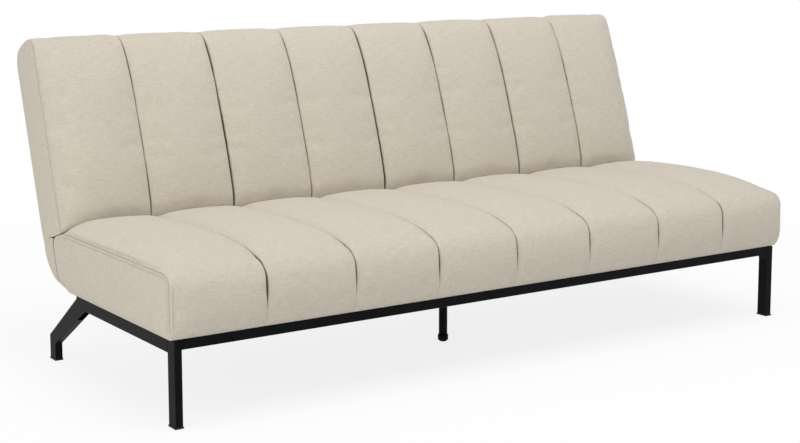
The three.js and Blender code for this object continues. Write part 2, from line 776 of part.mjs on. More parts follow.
// Room in the seat padding for the boards, the springs and the hinges
function seatPockets() {
  const below = seatFloor - overrun;
  const rearFace = seatRearBoardY + boardThickness + gap;
  const frontFace = seatBoardFront - gap;
  const boards = block([-seatBoardInner, seatBoardInner], [frontFace, rearFace], [below, seatBoardTop + gap]);
  const springTop = seatBoardTop + springArch + 2 * springWire + 2 * gap;
  const springEnds = [frontFace + boardThickness / 2 - slotPlay, rearFace - boardThickness / 2 + slotPlay];
  const springs = block([-seatBoardInner, seatBoardInner], springEnds, [seatBoardTop, springTop + gap]);
  const heelStart = seatBoardRear - seatBoardHeel;
  const beside = [
    [frontFace, below],
    [heelStart, below],
    [heelStart, seatFloor - gap],
    [seatBoardRear + gap, seatFloor + seatBoardHeelRise - gap],
    [seatBoardRear + gap, seatBoardTop + gap],
    [frontFace, seatBoardTop + gap],
  ];
  const slotX = [armInner - gap - pivotHeadHeight - slotPlay, plateOuter + gap + pivotHeadHeight + slotPlay];
  const slotY = [seatToeY[0] - slotPlay, pivotY + endClearance + overrun];
  const slotZ = [seatToeZ[0] - slotPlay, pivotZ + hubRadius + slotPlay];
  const perSide = Object.keys(sides).flatMap((side) => [
    plateAlongX(beside, spanOn(side, plateInner, seatBoardOuter + gap)),
    block(spanOn(side, ...slotX), slotY, slotZ),
  ]);
  return [boards, springs, ...perSide];
}

function cutPockets(solid, pockets) {
  return pockets.reduce((rest, pocket) => rest.subtract(toSolid(pocket)), solid);
}

function addSeatCushion() {
  const cushion = cutPockets(paddedForm(seatSection, seatDrawIn), seatPockets());
  addPiece(sofa, 'seat_cushion', toGeometry(cushion), linen);
}

// Back section, lying flat, from its low rear corner along the rear and back over the front
const backTopArcShares = [0, 0.35, 0.75, 1];
const backFrontShares = [0.89, 0.8, 0.69, 0.565, 0.44, 0.31, 0.2, 0.135];
const backLowRunShares = [[1, 0, 0.92], [0.56, 0, 0.8], [0.25, 0, 0.64], [0.06, 0, 0.38], [0, 0.08, 0.12]];

function backRise(y) {
  const fall = Math.max(0, backFallStart - y) / backFallLength;
  const ease = 1 - Math.exp(-Math.max(0, backLength - y) / backCrownEase);
  return backCrown * ease * (1 - backFallShare * fall ** 2);
}

function backSection(full) {
  const lowY = endClearance + backEndTaper;
  const low = arc(lowY + backLowBackRadius, backFloor + backLowBackRadius, backLowBackRadius, 180, 270, 2);
  const topY = backLength - backEndTaper - backTopBackRadius;
  const topBack = arc(topY, backFloor + backTopBackRadius, backTopBackRadius, 270, 360);
  const frontArcY = backLength - backTopFrontRadius;
  const frontArcZ = backSeamHeight - backTopFrontRadius;
  const topFront = arc(frontArcY, frontArcZ, backTopFrontRadius, 0, 90).map(([y, z], i) => [
    y + full * backTopCrown * (1 - backTopArcShares[i] / 2),
    z + full * backRise(y) * backTopArcShares[i],
  ]);
  const front = backFrontShares.map((share) => {
    const y = share * backLength;
    return [y, backSeamHeight + full * backRise(y)];
  });
  const runRise = backRise(endClearance + backLowRun);
  const lowFront = backLowRunShares.map(([run, drop, rise]) => [
    endClearance + backLowRun * run,
    backSeamHeight * (1 - drop) + full * runRise * rise,
  ]);
  const end = [[endClearance, 0], [endClearance + backEndTaper / 2, backFloor / 2]];
  return [...low, ...topBack, ...topFront, ...front, ...lowFront, ...end];
}

function backDrawIn(z) {
  const height = Math.min(1, (z - backFloor) / backDepthBelow);
  return backRearDrawIn * (1 - Math.sin((Math.PI / 2) * height));
}

// Room in the back padding for the boards and straps, open behind, and slots for the hinge arms
function backPockets() {
  const halfWidth = backBoardOuter + gap;
  const boards = block(
    [-halfWidth, halfWidth],
    [backBoardStart - gap, backBoardEnd + gap],
    [backFloor - overrun, backBoardTop + strapThickness + 2 * gap],
  );
  const slotY = [endClearance - overrun, armToeY[0] + slotPlay];
  const slotZ = [armToeZ[0], hubRadius];
  const slots = Object.keys(sides).map((side) => (
    block(spanOn(side, armInner - slotPlay, armOuter + slotPlay), slotY, slotZ)
  ));
  return [boards, ...slots];
}

function addBackCushion() {
  const cushion = cutPockets(paddedForm(backSection, backDrawIn), backPockets());
  addPiece(backGroup, 'back_cushion', toGeometry(cushion), linen);
  const halfWidth = backBoardOuter;
  const y = [backBoardStart, backBoardEnd];
  const panel = block([-halfWidth, halfWidth], y, [backFloor, backFloor + backCoverThickness]);
  addPiece(backGroup, 'back_rear_cover', panel, linen);
}

// Cloth that hangs from the foot of the back to the heel of the seat and hides the hinges

const hingeCoverShares = [
  [1, 1],
  [0.96, 0.745],
  [0.846, 0.509],
  [0.645, 0.303],
  [0.351, 0.121],
  [0.172, 0.057],
  [0, 0],
];

function tilted([y, z]) {
  return [
    pivotY + y * Math.cos(flatTurn) - z * Math.sin(flatTurn),
    pivotZ + y * Math.sin(flatTurn) + z * Math.cos(flatTurn),
  ];
}

// A point moved along its line from the hinge axis, outward where the step is positive
function alongReach([y, z], step) {
  const reach = Math.hypot(y - pivotY, z - pivotZ);
  return [y + ((y - pivotY) * step) / reach, z + ((z - pivotZ) * step) / reach];
}

function addHingeCover() {
  const topEnd = tilted([endClearance + backEndTaper - 2 * gap, backFloor + 2 * hingeCoverThickness]);
  const [run, rise] = seatHeelShares[2];
  const heel = [
    sideRailEnd + (pivotY - sideRailEnd) * run,
    seatFloor + (seatHeelZ - seatFloor) * rise,
  ];
  const lowEnd = alongReach(heel, hingeCoverThickness + 2 * gap);
  const outer = hingeCoverShares.map(([y, z]) => [
    THREE.MathUtils.lerp(lowEnd[0], topEnd[0], y),
    THREE.MathUtils.lerp(lowEnd[1], topEnd[1], z),
  ]);
  const inner = outer.map((point) => alongReach(point, -hingeCoverThickness));
  const sheet = [...outer].reverse().concat(inner);
  const endPanel = [
    ...[...outer].reverse(),
    inner[0],
    tilted([endClearance - softGap, backFloor / 3]),
    [pivotY + endClearance, pivotZ],
    [pivotY + softGap, seatHeelZ],
    inner.at(-2),
    inner.at(-1),
  ];
  const halfWidth = sofaHalfWidth - hingeCoverInset;
  const across = [-halfWidth, halfWidth];
  const cover = Object.keys(sides).reduce((solid, side) => {
    const span = spanOn(side, halfWidth - hingeCoverThickness, halfWidth);
    return solid.add(toSolid(plateAlongX(endPanel, span)));
  }, toSolid(plateAlongX(sheet, across)));
  addPiece(sofa, 'hinge_cover', toGeometry(cover), linen);
}

addSteelFrame();
addSeatTimber();
addSeatSprings();
addSeatCushion();
addBackTimber();
addBackStraps();
addBackCushion();
addHingeCover();
for (const side of Object.keys(sides)) addHinge(side);

// The origin is on the floor, under the middle of the sofa bed's box
sofa.updateMatrixWorld(true);
const box = new THREE.Box3().setFromObject(sofa, true);
sofa.position.y = -(box.min.y + box.max.y) / 2;

export default sofa;
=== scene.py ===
"""The looks of the click clack sofa bed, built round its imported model.

Metres. +Z is up, the sitter faces -Y and +X is to the right as seen from the front.
"""

import json
import math

import bmesh
import bpy
import numpy as np
from mathutils import Matrix, Vector, noise
from mathutils.bvhtree import BVHTree

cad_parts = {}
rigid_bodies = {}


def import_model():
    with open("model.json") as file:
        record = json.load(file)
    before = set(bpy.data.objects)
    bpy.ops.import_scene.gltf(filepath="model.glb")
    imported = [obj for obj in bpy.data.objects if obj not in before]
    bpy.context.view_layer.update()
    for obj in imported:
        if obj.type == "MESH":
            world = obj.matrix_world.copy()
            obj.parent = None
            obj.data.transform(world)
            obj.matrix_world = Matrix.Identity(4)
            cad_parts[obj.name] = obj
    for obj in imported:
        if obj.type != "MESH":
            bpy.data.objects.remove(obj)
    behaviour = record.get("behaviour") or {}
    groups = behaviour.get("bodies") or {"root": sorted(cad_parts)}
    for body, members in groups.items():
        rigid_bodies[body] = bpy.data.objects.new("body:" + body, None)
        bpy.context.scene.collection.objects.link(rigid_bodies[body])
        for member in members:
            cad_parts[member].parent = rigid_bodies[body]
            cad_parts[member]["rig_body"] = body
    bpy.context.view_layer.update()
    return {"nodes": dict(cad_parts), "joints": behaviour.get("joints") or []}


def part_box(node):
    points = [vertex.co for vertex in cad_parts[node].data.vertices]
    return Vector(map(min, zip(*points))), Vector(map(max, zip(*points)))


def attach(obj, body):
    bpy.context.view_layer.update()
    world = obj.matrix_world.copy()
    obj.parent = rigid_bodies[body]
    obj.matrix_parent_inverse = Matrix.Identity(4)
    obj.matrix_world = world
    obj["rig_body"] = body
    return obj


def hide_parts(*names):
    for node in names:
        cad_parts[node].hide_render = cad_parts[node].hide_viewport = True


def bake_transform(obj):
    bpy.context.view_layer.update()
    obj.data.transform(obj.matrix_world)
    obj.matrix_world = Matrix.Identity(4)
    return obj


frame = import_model()

# Width of the upholstery and its sewn channels
HALF_WIDTH = 0.985
CHANNELS = 8
PITCH = 2 * HALF_WIDTH / CHANNELS
END_ROLL = 0.09
VALLEY_SHARE = 0.84
CHANNEL_POWER = 2.6

# Seat section, from the front face of the frame and from the floor
SEAM_RISE = 0.153
SEAT_LIFT = 0.0001
FOOT_DRAW_IN = 0.008
DRAW_IN_SHARE = 0.25
FRONT_SWELL = 0.009
FRONT_CROWN = 0.022
FRONT_CORNER = 0.027
SEAT_CROWN = 0.049
CROWN_EASE = 0.075
SEAT_FALL_START = 0.15
SEAT_FALL_LENGTH = 0.45
SEAT_FALL_SHARE = 0.4
CREASE_SHORT = 0.031
CREASE_DROP = 0.0032
REAR_ROLL = 0.034
HEEL_RUN = 0.08
HEEL_RISE = 0.029
SEAT_ROUND = 0.0265

# Back section, from the hinge axis with the back lying flat
BACK_SEAM = 0.038
BACK_LENGTH = 0.548
BACK_DEPTH = 0.105
BACK_START = 0.028
BACK_END_TAPER = 0.003
BACK_REAR_DRAW_IN = 0.006
TOP_BACK_RADIUS = 0.05
TOP_FRONT_RADIUS = 0.026
LOW_BACK_RADIUS = 0.012
BACK_CROWN = 0.053
TOP_CROWN = 0.005
BACK_FALL_START = 0.2
BACK_FALL_LENGTH = 0.17
BACK_FALL_SHARE = 0.3
LOW_RUN = 0.032

# Seams and stitches
SEAM_DEPTH = 0.0065
SEAM_HALF_WIDTH = 0.0024
DEEPEST_SEAM = 1.2
BACK_SEAM_SHARES = (0.85, 1.45, 0.85, 1.85, 0.85, 1.2, 0.9)
PINCH_DEPTH = 0.0045
PINCH_WIDTH = 0.03
SEAM_CUTS = (0.0008, 0.0018)
SLIT_END = 0.25
SLIT_FULL = 0.305
SIDE_SEAM_DEPTH = 0.0022
SIDE_PANEL_SWELL = 0.0045
TOPSTITCH_INSET = 0.008
TOPSTITCH_DEPTH = 0.0011
SIMULATED_FRAMES = 20
SEAT_PRESSURE = 1.0
BACK_PRESSURE = 1.0
SWELL_CAP = 0.008
FOOT_REST = 0.018
STITCH_LENGTH = 0.0042
STITCH_PITCH = 0.0055
STITCH_RADIUS = 0.00045
SIDE_BAND = 0.03
SIDE_SEAM_WIDTH = 0.0022
SIDE_SEAM_REACH = 0.004
PANEL_START = 0.0009
PANEL_PLAY = 0.002
PANEL_SWELL_REACH = 0.02
PANEL_EDGE = 0.0001
STITCH_START = 0.01
BEYOND_SIDE = 1.1

# How far each seam is open, and where it eases off
SEAM_MEAN = 0.84
SEAM_DRIFT = 0.5
SEAM_DRIFT_LENGTH = 0.11
SEAM_DRIFT_STEP = 0.37
SLIT_WIDTHS = (0.55, 0.45)
SLIT_CORE = 0.35
VALLEY_OPEN = 0.13
VALLEY_SPAN = (-0.005, 0.11)
FOOT_OPEN = 0.1
FOOT_START = 0.001
FOOT_MARGIN = 0.004
CREASE_MARGIN = 0.002
TOP_OPEN = 0.25
TOP_OPEN_RUN = 0.035
REAR_SEAM_SPAN = (-0.08, -0.045)
REAR_EASE = 0.012
LOW_EASE = (0.001, 0.012)

# Unevenness of the filling, as length and height, and how much painted shade each seam line gets
LARGE_LUMPS = (0.16, 0.0012)
SMALL_LUMPS = (0.045, 0.0004)
SEAM_PAINTED_SHADE = 1.1
SIDE_SEAM_PAINTED_SHADE = 0.42
TOPSTITCH_PAINTED_SHADE = 0.2

# Filling of the cushions by the cloth simulation
HELD_SEAM = 0.001
HELD_SIDE = 0.010
FREE_SHARE = 0.97
FILLING = {
    "vertex_group_mass": "held",
    "quality": 5,
    "mass": 0.35,
    "tension_stiffness": 25,
    "compression_stiffness": 25,
    "shear_stiffness": 10,
    "bending_stiffness": 3,
    "use_pressure": True,
    "shrink_min": -0.006,
}

# Mesh work
MERGE = 0.00001
NODE_MERGE = 0.00002
CUT_REACH = 0.012
CLEAR_OF_SEAM = 5

# Cloth cover behind the hinge
COVER_THICKNESS = 0.0016
COVER_TOP_HEM = 0.006
COVER_TOP_RISE = 0.004
COVER_PLAY = 0.0006
COVER_STAND_OFF = 0.0026
COVER_GAP = 0.0012
COVER_GATHER = 0.0026
COVER_COLUMN = 0.02
COVER_ROWS = 20
COVER_OVERHANG = 0.001
COVER_TURN = 0.002
COVER_HEEL_PLAY = (0.003, 0.0015)
COVER_END_EASE = 0.03
COVER_GATHER_POWER = 0.7
COVER_FOLDS = ((0.055, 1.2, 4.0, 1.0), (0.02, 0.8, 9.0, 0.5))
CHEEK_BULGE = 0.0015

# Cloth over the rear opening, dust cover and straps
REAR_COVER_START = 0.046
REAR_COVER_END = 0.505
REAR_COVER_PROUD = 0.0009
REAR_COVER_CORNER = 0.016
REAR_WAVES = (0.3, 0.09)
REAR_WAVE_HEIGHT = 0.0004
REAR_WAVE_EASE = 0.08
REAR_OUTWARD = (0, 0.95, -0.3)
HEM_WIDTH = 0.011
HEM_EASE = 0.003
HEM_HEIGHT = 0.0008
HEM_EDGE = 0.0015
HEM_STITCH_SINK = 0.0006
HEM_STITCH_WIDTH = 0.0025
HEM_CORNER = 0.008
SHEET_THICKNESS = 0.0007
SHEET_STEP = 0.03
SHEET_EDGE_STEPS = (0, 0.002, 0.006, 0.0085, 0.0115, 0.014, 0.02)
DUST_SAG = 0.006
DUST_DROP = 0.00008
DUST_THICKNESS = 0.0001
DUST_SIDE_INSET = 0.01
DUST_FRONT_INSET = 0.012
DUST_INSETS = 0.016
DUST_HANG_POWERS = (0.6, 0.7)
DUST_WAVES = (0.16, 0.07)
DUST_WAVE_HEIGHT = 0.0016
STRAP_WIDTH = 0.06
STRAP_SAG = 0.002
STRAP_THICKNESS = 0.0014
STRAP_WAIST = 0.06
STRAP_WAIST_POWER = 8
STRAP_COLUMNS = 65
STRAP_ROWS = 7

# Steel frame
TUBE_CORNER = 0.0016
FILLET_RADIUS = 0.017
FILLET_INSET = 0.0015
THINNEST_FACE = 0.004
SHARP_EDGE = 25
SHARP_SHADING = 32
NODE_SHADING = 30
NEARLY_FLAT = 2

# Camera, fitted to points measured in the photograph. Angles are in degrees
CAMERA_PLACE = (-2.5573, -3.6974, 1.1584)
CAMERA_TURN = 34.075
CAMERA_PITCH = 7.797
CAMERA_LENS = 73.08
CAMERA_SHIFT = -0.1

# Floor and light
WORLD_LIGHT = 0.56
FLOOR_WHITE = 0.84
FLOOR_HALF_SIZE = 30
FLOOR_FADE = (0.9, 2.6)

front_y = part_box("front_rail")[0].y
frame_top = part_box("front_rail")[1].z
recline = next(joint for joint in frame["joints"] if joint["name"] == "back_recline")
pivot = Vector(recline["pos_m"])
flat_turn = math.radians(recline["range_deg"][1])
pivot_y = pivot.y - front_y
seat_floor = frame_top + SEAT_LIFT
seat_seam = frame_top + SEAM_RISE
crease_y = pivot_y - CREASE_SHORT
heel = (pivot_y, frame_top + HEEL_RISE)
rail_end = pivot_y - HEEL_RUN


# Material helpers

def node(tree, kind, inputs=(), **settings):
    """A shader node with its settings, and its inputs given as values or as other sockets."""
    made = tree.nodes.new(kind)
    for name, value in settings.items():
        setattr(made, name, value)
    for socket, value in dict(inputs).items():
        if isinstance(value, bpy.types.NodeSocket):
            tree.links.new(value, made.inputs[socket])
        else:
            made.inputs[socket].default_value = value
    return made


def maths(tree, operation, *values):
    made = node(tree, "ShaderNodeMath", enumerate(values), operation=operation)
    return made.outputs[0]


def ramp(tree, value, low, high):
    """A value brought from the span low to high onto 0 to 1."""
    inputs = {"Value": value, "From Min": low, "From Max": high}
    return node(tree, "ShaderNodeMapRange", inputs).outputs["Result"]


def blend_colour(tree, share, first, second, way="MIX"):
    """Two colours blended. A mix node has its factor, its colours and its result at these sockets."""
    inputs = {0: share, 6: first, 7: second}
    return node(tree, "ShaderNodeMix", inputs, data_type="RGBA", blend_type=way).outputs[2]


def stretched(tree, place, scale):
    return node(tree, "ShaderNodeMapping", {"Vector": place, "Scale": scale}).outputs[0]


def speckle(tree, place, scale, detail=2.0, roughness=0.5):
    inputs = {"Vector": place, "Scale": scale, "Detail": detail, "Roughness": roughness}
    return node(tree, "ShaderNodeTexNoise", inputs).outputs["Fac"]


def node_group(name, inputs, outputs):
    """An empty node group, with its sockets, and its input and output nodes."""
    tree = bpy.data.node_groups.new(name, "ShaderNodeTree")
    for label, kind, value in inputs:
        made = tree.interface.new_socket(label, in_out="INPUT", socket_type="NodeSocket" + kind)
        if value is not None:
            made.default_value = value
    for label, kind in outputs:
        tree.interface.new_socket(label, in_out="OUTPUT", socket_type="NodeSocket" + kind)
    return tree, tree.nodes.new("NodeGroupInput").outputs, tree.nodes.new("NodeGroupOutput").inputs


def use_group(tree, group, inputs):
    return node(tree, "ShaderNodeGroup", inputs, node_tree=group).outputs


def new_material(name, **uniform):
    """A material with a Principled BSDF whose uniform values are set on its own sockets."""
    material = bpy.data.materials.new(name)
    material.use_nodes = True
    tree = material.node_tree
    shader = tree.nodes["Principled BSDF"]
    for label, value in uniform.items():
        shader.inputs[label.replace("_", " ")].default_value = value
    return material, tree, shader


def connect(tree, shader, colour=None, roughness=None, height=None, distance=0.001, strength=1.0):
    """Joins the varying values to the shader."""
    if colour is not None:
        tree.links.new(colour, shader.inputs["Base Color"])
    if roughness is not None:
        tree.links.new(roughness, shader.inputs["Roughness"])
    if height is not None:
        inputs = {"Height": height, "Distance": distance, "Strength": strength}
        bump = node(tree, "ShaderNodeBump", inputs)
        tree.links.new(bump.outputs[0], shader.inputs["Normal"])


def object_place(tree):
    return node(tree, "ShaderNodeTexCoord").outputs["Object"]


def cloth_place(tree):
    return node(tree, "ShaderNodeUVMap", uv_map="cloth").outputs[0]


def surface_value(tree, name):
    return node(tree, "ShaderNodeAttribute", attribute_name=name).outputs["Fac"]


# Effects shared by several materials

def make_weave():
    """A plain weave with uneven yarn: crossing threads, thick slubs and a slow drift of tone."""
    tree, given, result = node_group(
        "plain weave",
        [
            ("Place", "Vector", None),
            ("Threads", "Float", 450.0),
            ("Slub", "Float", 0.5),
            ("Base", "Color", (0.5, 0.5, 0.5, 1)),
            ("Deep", "Color", (0.3, 0.3, 0.3, 1)),
            ("Pale", "Color", (0.8, 0.8, 0.8, 1)),
        ],
        [("Color", "Color"), ("Height", "Float"), ("Roughness", "Float")],
    )
    place = given["Place"]
    wander = speckle(tree, place, 60.0)
    apart = node(tree, "ShaderNodeSeparateXYZ", {0: place}).outputs
    across = maths(tree, "MULTIPLY_ADD", apart[0], given["Threads"], maths(tree, "MULTIPLY", wander, 3.0))
    along = maths(tree, "MULTIPLY_ADD", apart[1], given["Threads"], maths(tree, "MULTIPLY", wander, 2.0))
    turn = 2 * math.pi
    warp = maths(tree, "SINE", maths(tree, "MULTIPLY", across, turn))
    weft = maths(tree, "SINE", maths(tree, "MULTIPLY", along, turn))
    over = ramp(tree, maths(tree, "MULTIPLY", warp, weft), -1.0, 1.0)
    weft_slub = speckle(tree, stretched(tree, place, (38.0, 300.0, 1.0)), 1.0, 5.0, 0.7)
    warp_slub = speckle(tree, stretched(tree, place, (300.0, 50.0, 1.0)), 1.0, 5.0, 0.7)
    warp_part = maths(tree, "MULTIPLY", ramp(tree, warp_slub, 0.3, 0.7), 0.8)
    yarn = maths(tree, "MULTIPLY_ADD", ramp(tree, weft_slub, 0.3, 0.7), 1.2, warp_part)
    drift = speckle(tree, place, 5.0, 3.0)
    fleck = speckle(tree, place, 260.0, 1.0)
    tone = maths(tree, "MULTIPLY_ADD", yarn, 0.36, maths(tree, "MULTIPLY", drift, 0.08))
    tone = maths(tree, "MULTIPLY_ADD", over, 0.3, tone)
    tone = maths(tree, "MULTIPLY_ADD", fleck, 0.1, tone)
    low = blend_colour(tree, ramp(tree, tone, 0.27, 0.61), given["Deep"], given["Base"])
    colour = blend_colour(tree, ramp(tree, tone, 0.65, 0.93), low, given["Pale"])
    slub = maths(tree, "MULTIPLY", yarn, given["Slub"])
    height = maths(tree, "MULTIPLY_ADD", over, 0.55, slub)
    tree.links.new(colour, result["Color"])
    tree.links.new(height, result["Height"])
    tree.links.new(maths(tree, "MULTIPLY_ADD", over, -0.1, 0.95), result["Roughness"])
    return tree


def make_wear():
    """Where a painted or plated edge is rubbed: an edge mask broken up by noise."""
    tree, given, result = node_group(
        "edge wear",
        [
            ("Place", "Vector", None),
            ("Edge", "Float", 0.0),
            ("Amount", "Float", 0.4),
            ("Grain", "Float", 180.0),
        ],
        [("Mask", "Float"), ("Dust", "Float")],
    )
    place = given["Place"]
    broken = speckle(tree, place, given["Grain"], 4.0, 0.65)
    limit = maths(tree, "SUBTRACT", 1.0, given["Amount"])
    worn = maths(tree, "MULTIPLY_ADD", given["Edge"], broken, maths(tree, "MULTIPLY", given["Edge"], 0.35))
    mask = ramp(tree, worn, limit, 1.3)
    tree.links.new(mask, result["Mask"])
    tree.links.new(ramp(tree, speckle(tree, place, 14.0, 5.0, 0.6), 0.42, 0.75), result["Dust"])
    return tree


weave = make_weave()
wear = make_wear()


# Materials

def make_linen():
    material, tree, shader = new_material(
        "oatmeal linen",
        Sheen_Weight=0.3,
        Sheen_Roughness=0.4,
        Sheen_Tint=(1.0, 0.98, 0.96, 1),
        Specular_IOR_Level=0.2,
    )
    cloth = use_group(tree, weave, {
        "Place": cloth_place(tree),
        "Threads": 480.0,
        "Slub": 0.45,
        "Base": (0.6, 0.55, 0.46, 1),
        "Deep": (0.5, 0.445, 0.355, 1),
        "Pale": (0.67, 0.63, 0.55, 1),
    })
    # Painted shade: where the seam value is high the linen is coloured a deep brown, standing in for the
    # shade inside the seam grooves
    hollow = surface_value(tree, "seam")
    colour = blend_colour(tree, hollow, cloth["Color"], (0.12, 0.085, 0.055, 1))
    connect(tree, shader, colour, cloth["Roughness"], cloth["Height"], 0.0006, 0.6)
    return material


def make_thread():
    """Linen thread, twisted two-ply."""
    material, tree, shader = new_material("linen thread", Specular_IOR_Level=0.2, Sheen_Weight=0.2)
    place = object_place(tree)
    twist = speckle(tree, place, 1400.0, 2.0)
    colour = blend_colour(tree, ramp(tree, twist, 0.35, 0.7), (0.42, 0.36, 0.27, 1), (0.62, 0.56, 0.46, 1))
    connect(tree, shader, colour, maths(tree, "MULTIPLY_ADD", twist, 0.2, 0.7), twist, 0.0002, 0.6)
    return material


def make_dust_cloth():
    material, tree, shader = new_material("black dust cloth", Specular_IOR_Level=0.15)
    place = cloth_place(tree)
    fibres = speckle(tree, stretched(tree, place, (300.0, 90.0, 1.0)), 1.0, 4.0, 0.7)
    dimples = node(tree, "ShaderNodeTexVoronoi", {"Vector": place, "Scale": 420.0}).outputs["Distance"]
    paler = ramp(tree, fibres, 0.35, 0.7)
    colour = blend_colour(tree, paler, (0.009, 0.009, 0.01, 1), (0.024, 0.024, 0.026, 1))
    height = maths(tree, "MULTIPLY_ADD", fibres, 0.6, dimples)
    connect(tree, shader, colour, maths(tree, "MULTIPLY_ADD", fibres, 0.15, 0.82), height, 0.0003, 0.5)
    return material


def make_webbing():
    material, tree, shader = new_material("elastic webbing", Specular_IOR_Level=0.25)
    cloth = use_group(tree, weave, {
        "Place": cloth_place(tree),
        "Threads": 300.0,
        "Slub": 0.1,
        "Base": (0.03, 0.029, 0.027, 1),
        "Deep": (0.012, 0.012, 0.012, 1),
        "Pale": (0.075, 0.07, 0.062, 1),
    })
    connect(tree, shader, cloth["Color"], cloth["Roughness"], cloth["Height"], 0.0008, 0.8)
    return material


def make_powder_coat():
    material, tree, shader = new_material("black powder coat", Specular_IOR_Level=0.07)
    place = object_place(tree)
    edge = use_group(tree, wear, {"Place": place, "Edge": surface_value(tree, "edge"), "Amount": 0.45})
    grain = speckle(tree, place, 900.0, 2.0)
    ripple = speckle(tree, place, 160.0, 1.0)
    paler = ramp(tree, grain, 0.3, 0.75)
    base = blend_colour(tree, paler, (0.0018, 0.0023, 0.0023, 1), (0.0036, 0.0043, 0.0042, 1))
    dusty = blend_colour(tree, maths(tree, "MULTIPLY", edge["Dust"], 0.25), base, (0.011, 0.012, 0.012, 1))
    colour = blend_colour(tree, edge["Mask"], dusty, (0.035, 0.036, 0.035, 1))
    height = maths(tree, "MULTIPLY_ADD", ripple, 0.8, maths(tree, "MULTIPLY", grain, 0.35))
    roughness = maths(tree, "MULTIPLY_ADD", grain, 0.16, 0.4)
    connect(tree, shader, colour, roughness, height, 0.0002, 0.5)
    return material


def make_zinc():
    material, tree, shader = new_material("zinc plate", Metallic=1.0)
    place = object_place(tree)
    spangle = node(tree, "ShaderNodeTexVoronoi", {"Vector": place, "Scale": 240.0}).outputs["Color"]
    rolled = speckle(tree, stretched(tree, place, (40.0, 900.0, 40.0)), 1.0, 3.0)
    colour = blend_colour(tree, 0.12, (0.56, 0.57, 0.55, 1), spangle, "OVERLAY")
    roughness = maths(tree, "MULTIPLY_ADD", rolled, 0.25, 0.28)
    connect(tree, shader, colour, roughness, rolled, 0.0001, 0.4)
    return material


def make_spring_steel():
    material, tree, shader = new_material("oiled spring steel", Metallic=1.0)
    place = object_place(tree)
    scale = speckle(tree, place, 90.0, 4.0, 0.7)
    paler = ramp(tree, scale, 0.35, 0.7)
    colour = blend_colour(tree, paler, (0.09, 0.092, 0.095, 1), (0.24, 0.235, 0.225, 1))
    connect(tree, shader, colour, maths(tree, "MULTIPLY_ADD", scale, 0.3, 0.3), scale, 0.0001, 0.4)
    return material


def make_glide_plastic():
    material, tree, shader = new_material("black glide plastic", Specular_IOR_Level=0.35)
    place = object_place(tree)
    grain = speckle(tree, place, 700.0, 3.0)
    scuff = speckle(tree, stretched(tree, place, (60.0, 60.0, 600.0)), 1.0, 4.0, 0.7)
    colour = blend_colour(tree, ramp(tree, scuff, 0.55, 0.8), (0.01, 0.01, 0.01, 1), (0.045, 0.044, 0.042, 1))
    connect(tree, shader, colour, maths(tree, "MULTIPLY_ADD", grain, 0.2, 0.55), grain, 0.0002, 0.5)
    return material


def make_timber(name, along):
    """Sawn softwood with its grain along one axis."""
    material, tree, shader = new_material(name, Specular_IOR_Level=0.3)
    place = object_place(tree)
    fine = [340.0, 340.0, 340.0]
    fine[along] = 9.0
    broad = [34.0, 34.0, 34.0]
    broad[along] = 1.6
    fibre = speckle(tree, stretched(tree, place, fine), 1.0, 4.0, 0.6)
    ring = speckle(tree, stretched(tree, place, broad), 1.0, 3.0, 0.55)
    bands = maths(tree, "SINE", maths(tree, "MULTIPLY", ring, 42.0))
    fine_tone = maths(tree, "MULTIPLY", fibre, 0.55)
    tone = maths(tree, "MULTIPLY_ADD", ramp(tree, bands, -1.0, 1.0), 0.45, fine_tone)
    colour = blend_colour(tree, ramp(tree, tone, 0.2, 0.8), (0.63, 0.44, 0.25, 1), (0.42, 0.25, 0.12, 1))
    connect(tree, shader, colour, maths(tree, "MULTIPLY_ADD", fibre, 0.2, 0.62), fibre, 0.0004, 0.6)
    return material


linen = make_linen()
thread = make_thread()
dust_cloth = make_dust_cloth()
webbing = make_webbing()
powder_coat = make_powder_coat()
zinc = make_zinc()
spring_steel = make_spring_steel()
glide_plastic = make_glide_plastic()
timber_across = make_timber("softwood across", 0)
timber_deep = make_timber("softwood front to back", 1)


# Mesh helpers

def new_piece(name, mesh, material):
    piece = bpy.data.objects.new(name, mesh)
    bpy.context.scene.collection.objects.link(piece)
    piece.data.materials.clear()
    piece.data.materials.append(material)
    return piece


def shade_smooth(mesh):
    for polygon in mesh.polygons:
        polygon.use_smooth = True


def mesh_from(name, bm):
    mesh = bpy.data.meshes.new(name)
    bm.to_mesh(mesh)
    bm.free()
    shade_smooth(mesh)
    return mesh


def subdivide_once(piece):
    """Subdivides a piece, and makes this and its other modifiers part of its mesh."""
    finer = piece.modifiers.new("finer", "SUBSURF")
    finer.levels = finer.render_levels = 1
    seen = piece.evaluated_get(bpy.context.evaluated_depsgraph_get())
    mesh = bpy.data.meshes.new_from_object(seen)
    piece.modifiers.clear()
    piece.data = mesh


def coordinates(mesh):
    places = np.zeros(len(mesh.vertices) * 3, np.float32)
    mesh.vertices.foreach_get("co", places)
    return places.reshape(-1, 3).astype(float)


def place_vertices(mesh, places):
    mesh.vertices.foreach_set("co", places.astype(np.float32).ravel())
    mesh.update()


def write_value(mesh, name, values):
    attribute = mesh.attributes.get(name) or mesh.attributes.new(name, "FLOAT", "POINT")
    attribute.data.foreach_set("value", np.asarray(values, np.float32))


def smooth_step(value, low, high):
    share = np.clip((value - low) / (high - low), 0, 1)
    return share * share * (3 - 2 * share)


def eased(least, share):
    """A value that goes from its least to 1 as the share goes from 0 to 1."""
    return least + (1 - least) * share


def line_mark(distance, width):
    """1 on a line, falling to 0 at the width given."""
    return np.clip(1 - distance / width, 0, 1)


def waves_over(x, y, lengths, seed):
    """Smooth noise over rows and columns of places, with a wave length for each way."""
    spots = zip(x.ravel(), y.ravel())
    heights = [noise.noise(Vector((u / lengths[0], v / lengths[1], seed))) for u, v in spots]
    return np.array(heights).reshape(x.shape)


# Outlines in the side plane

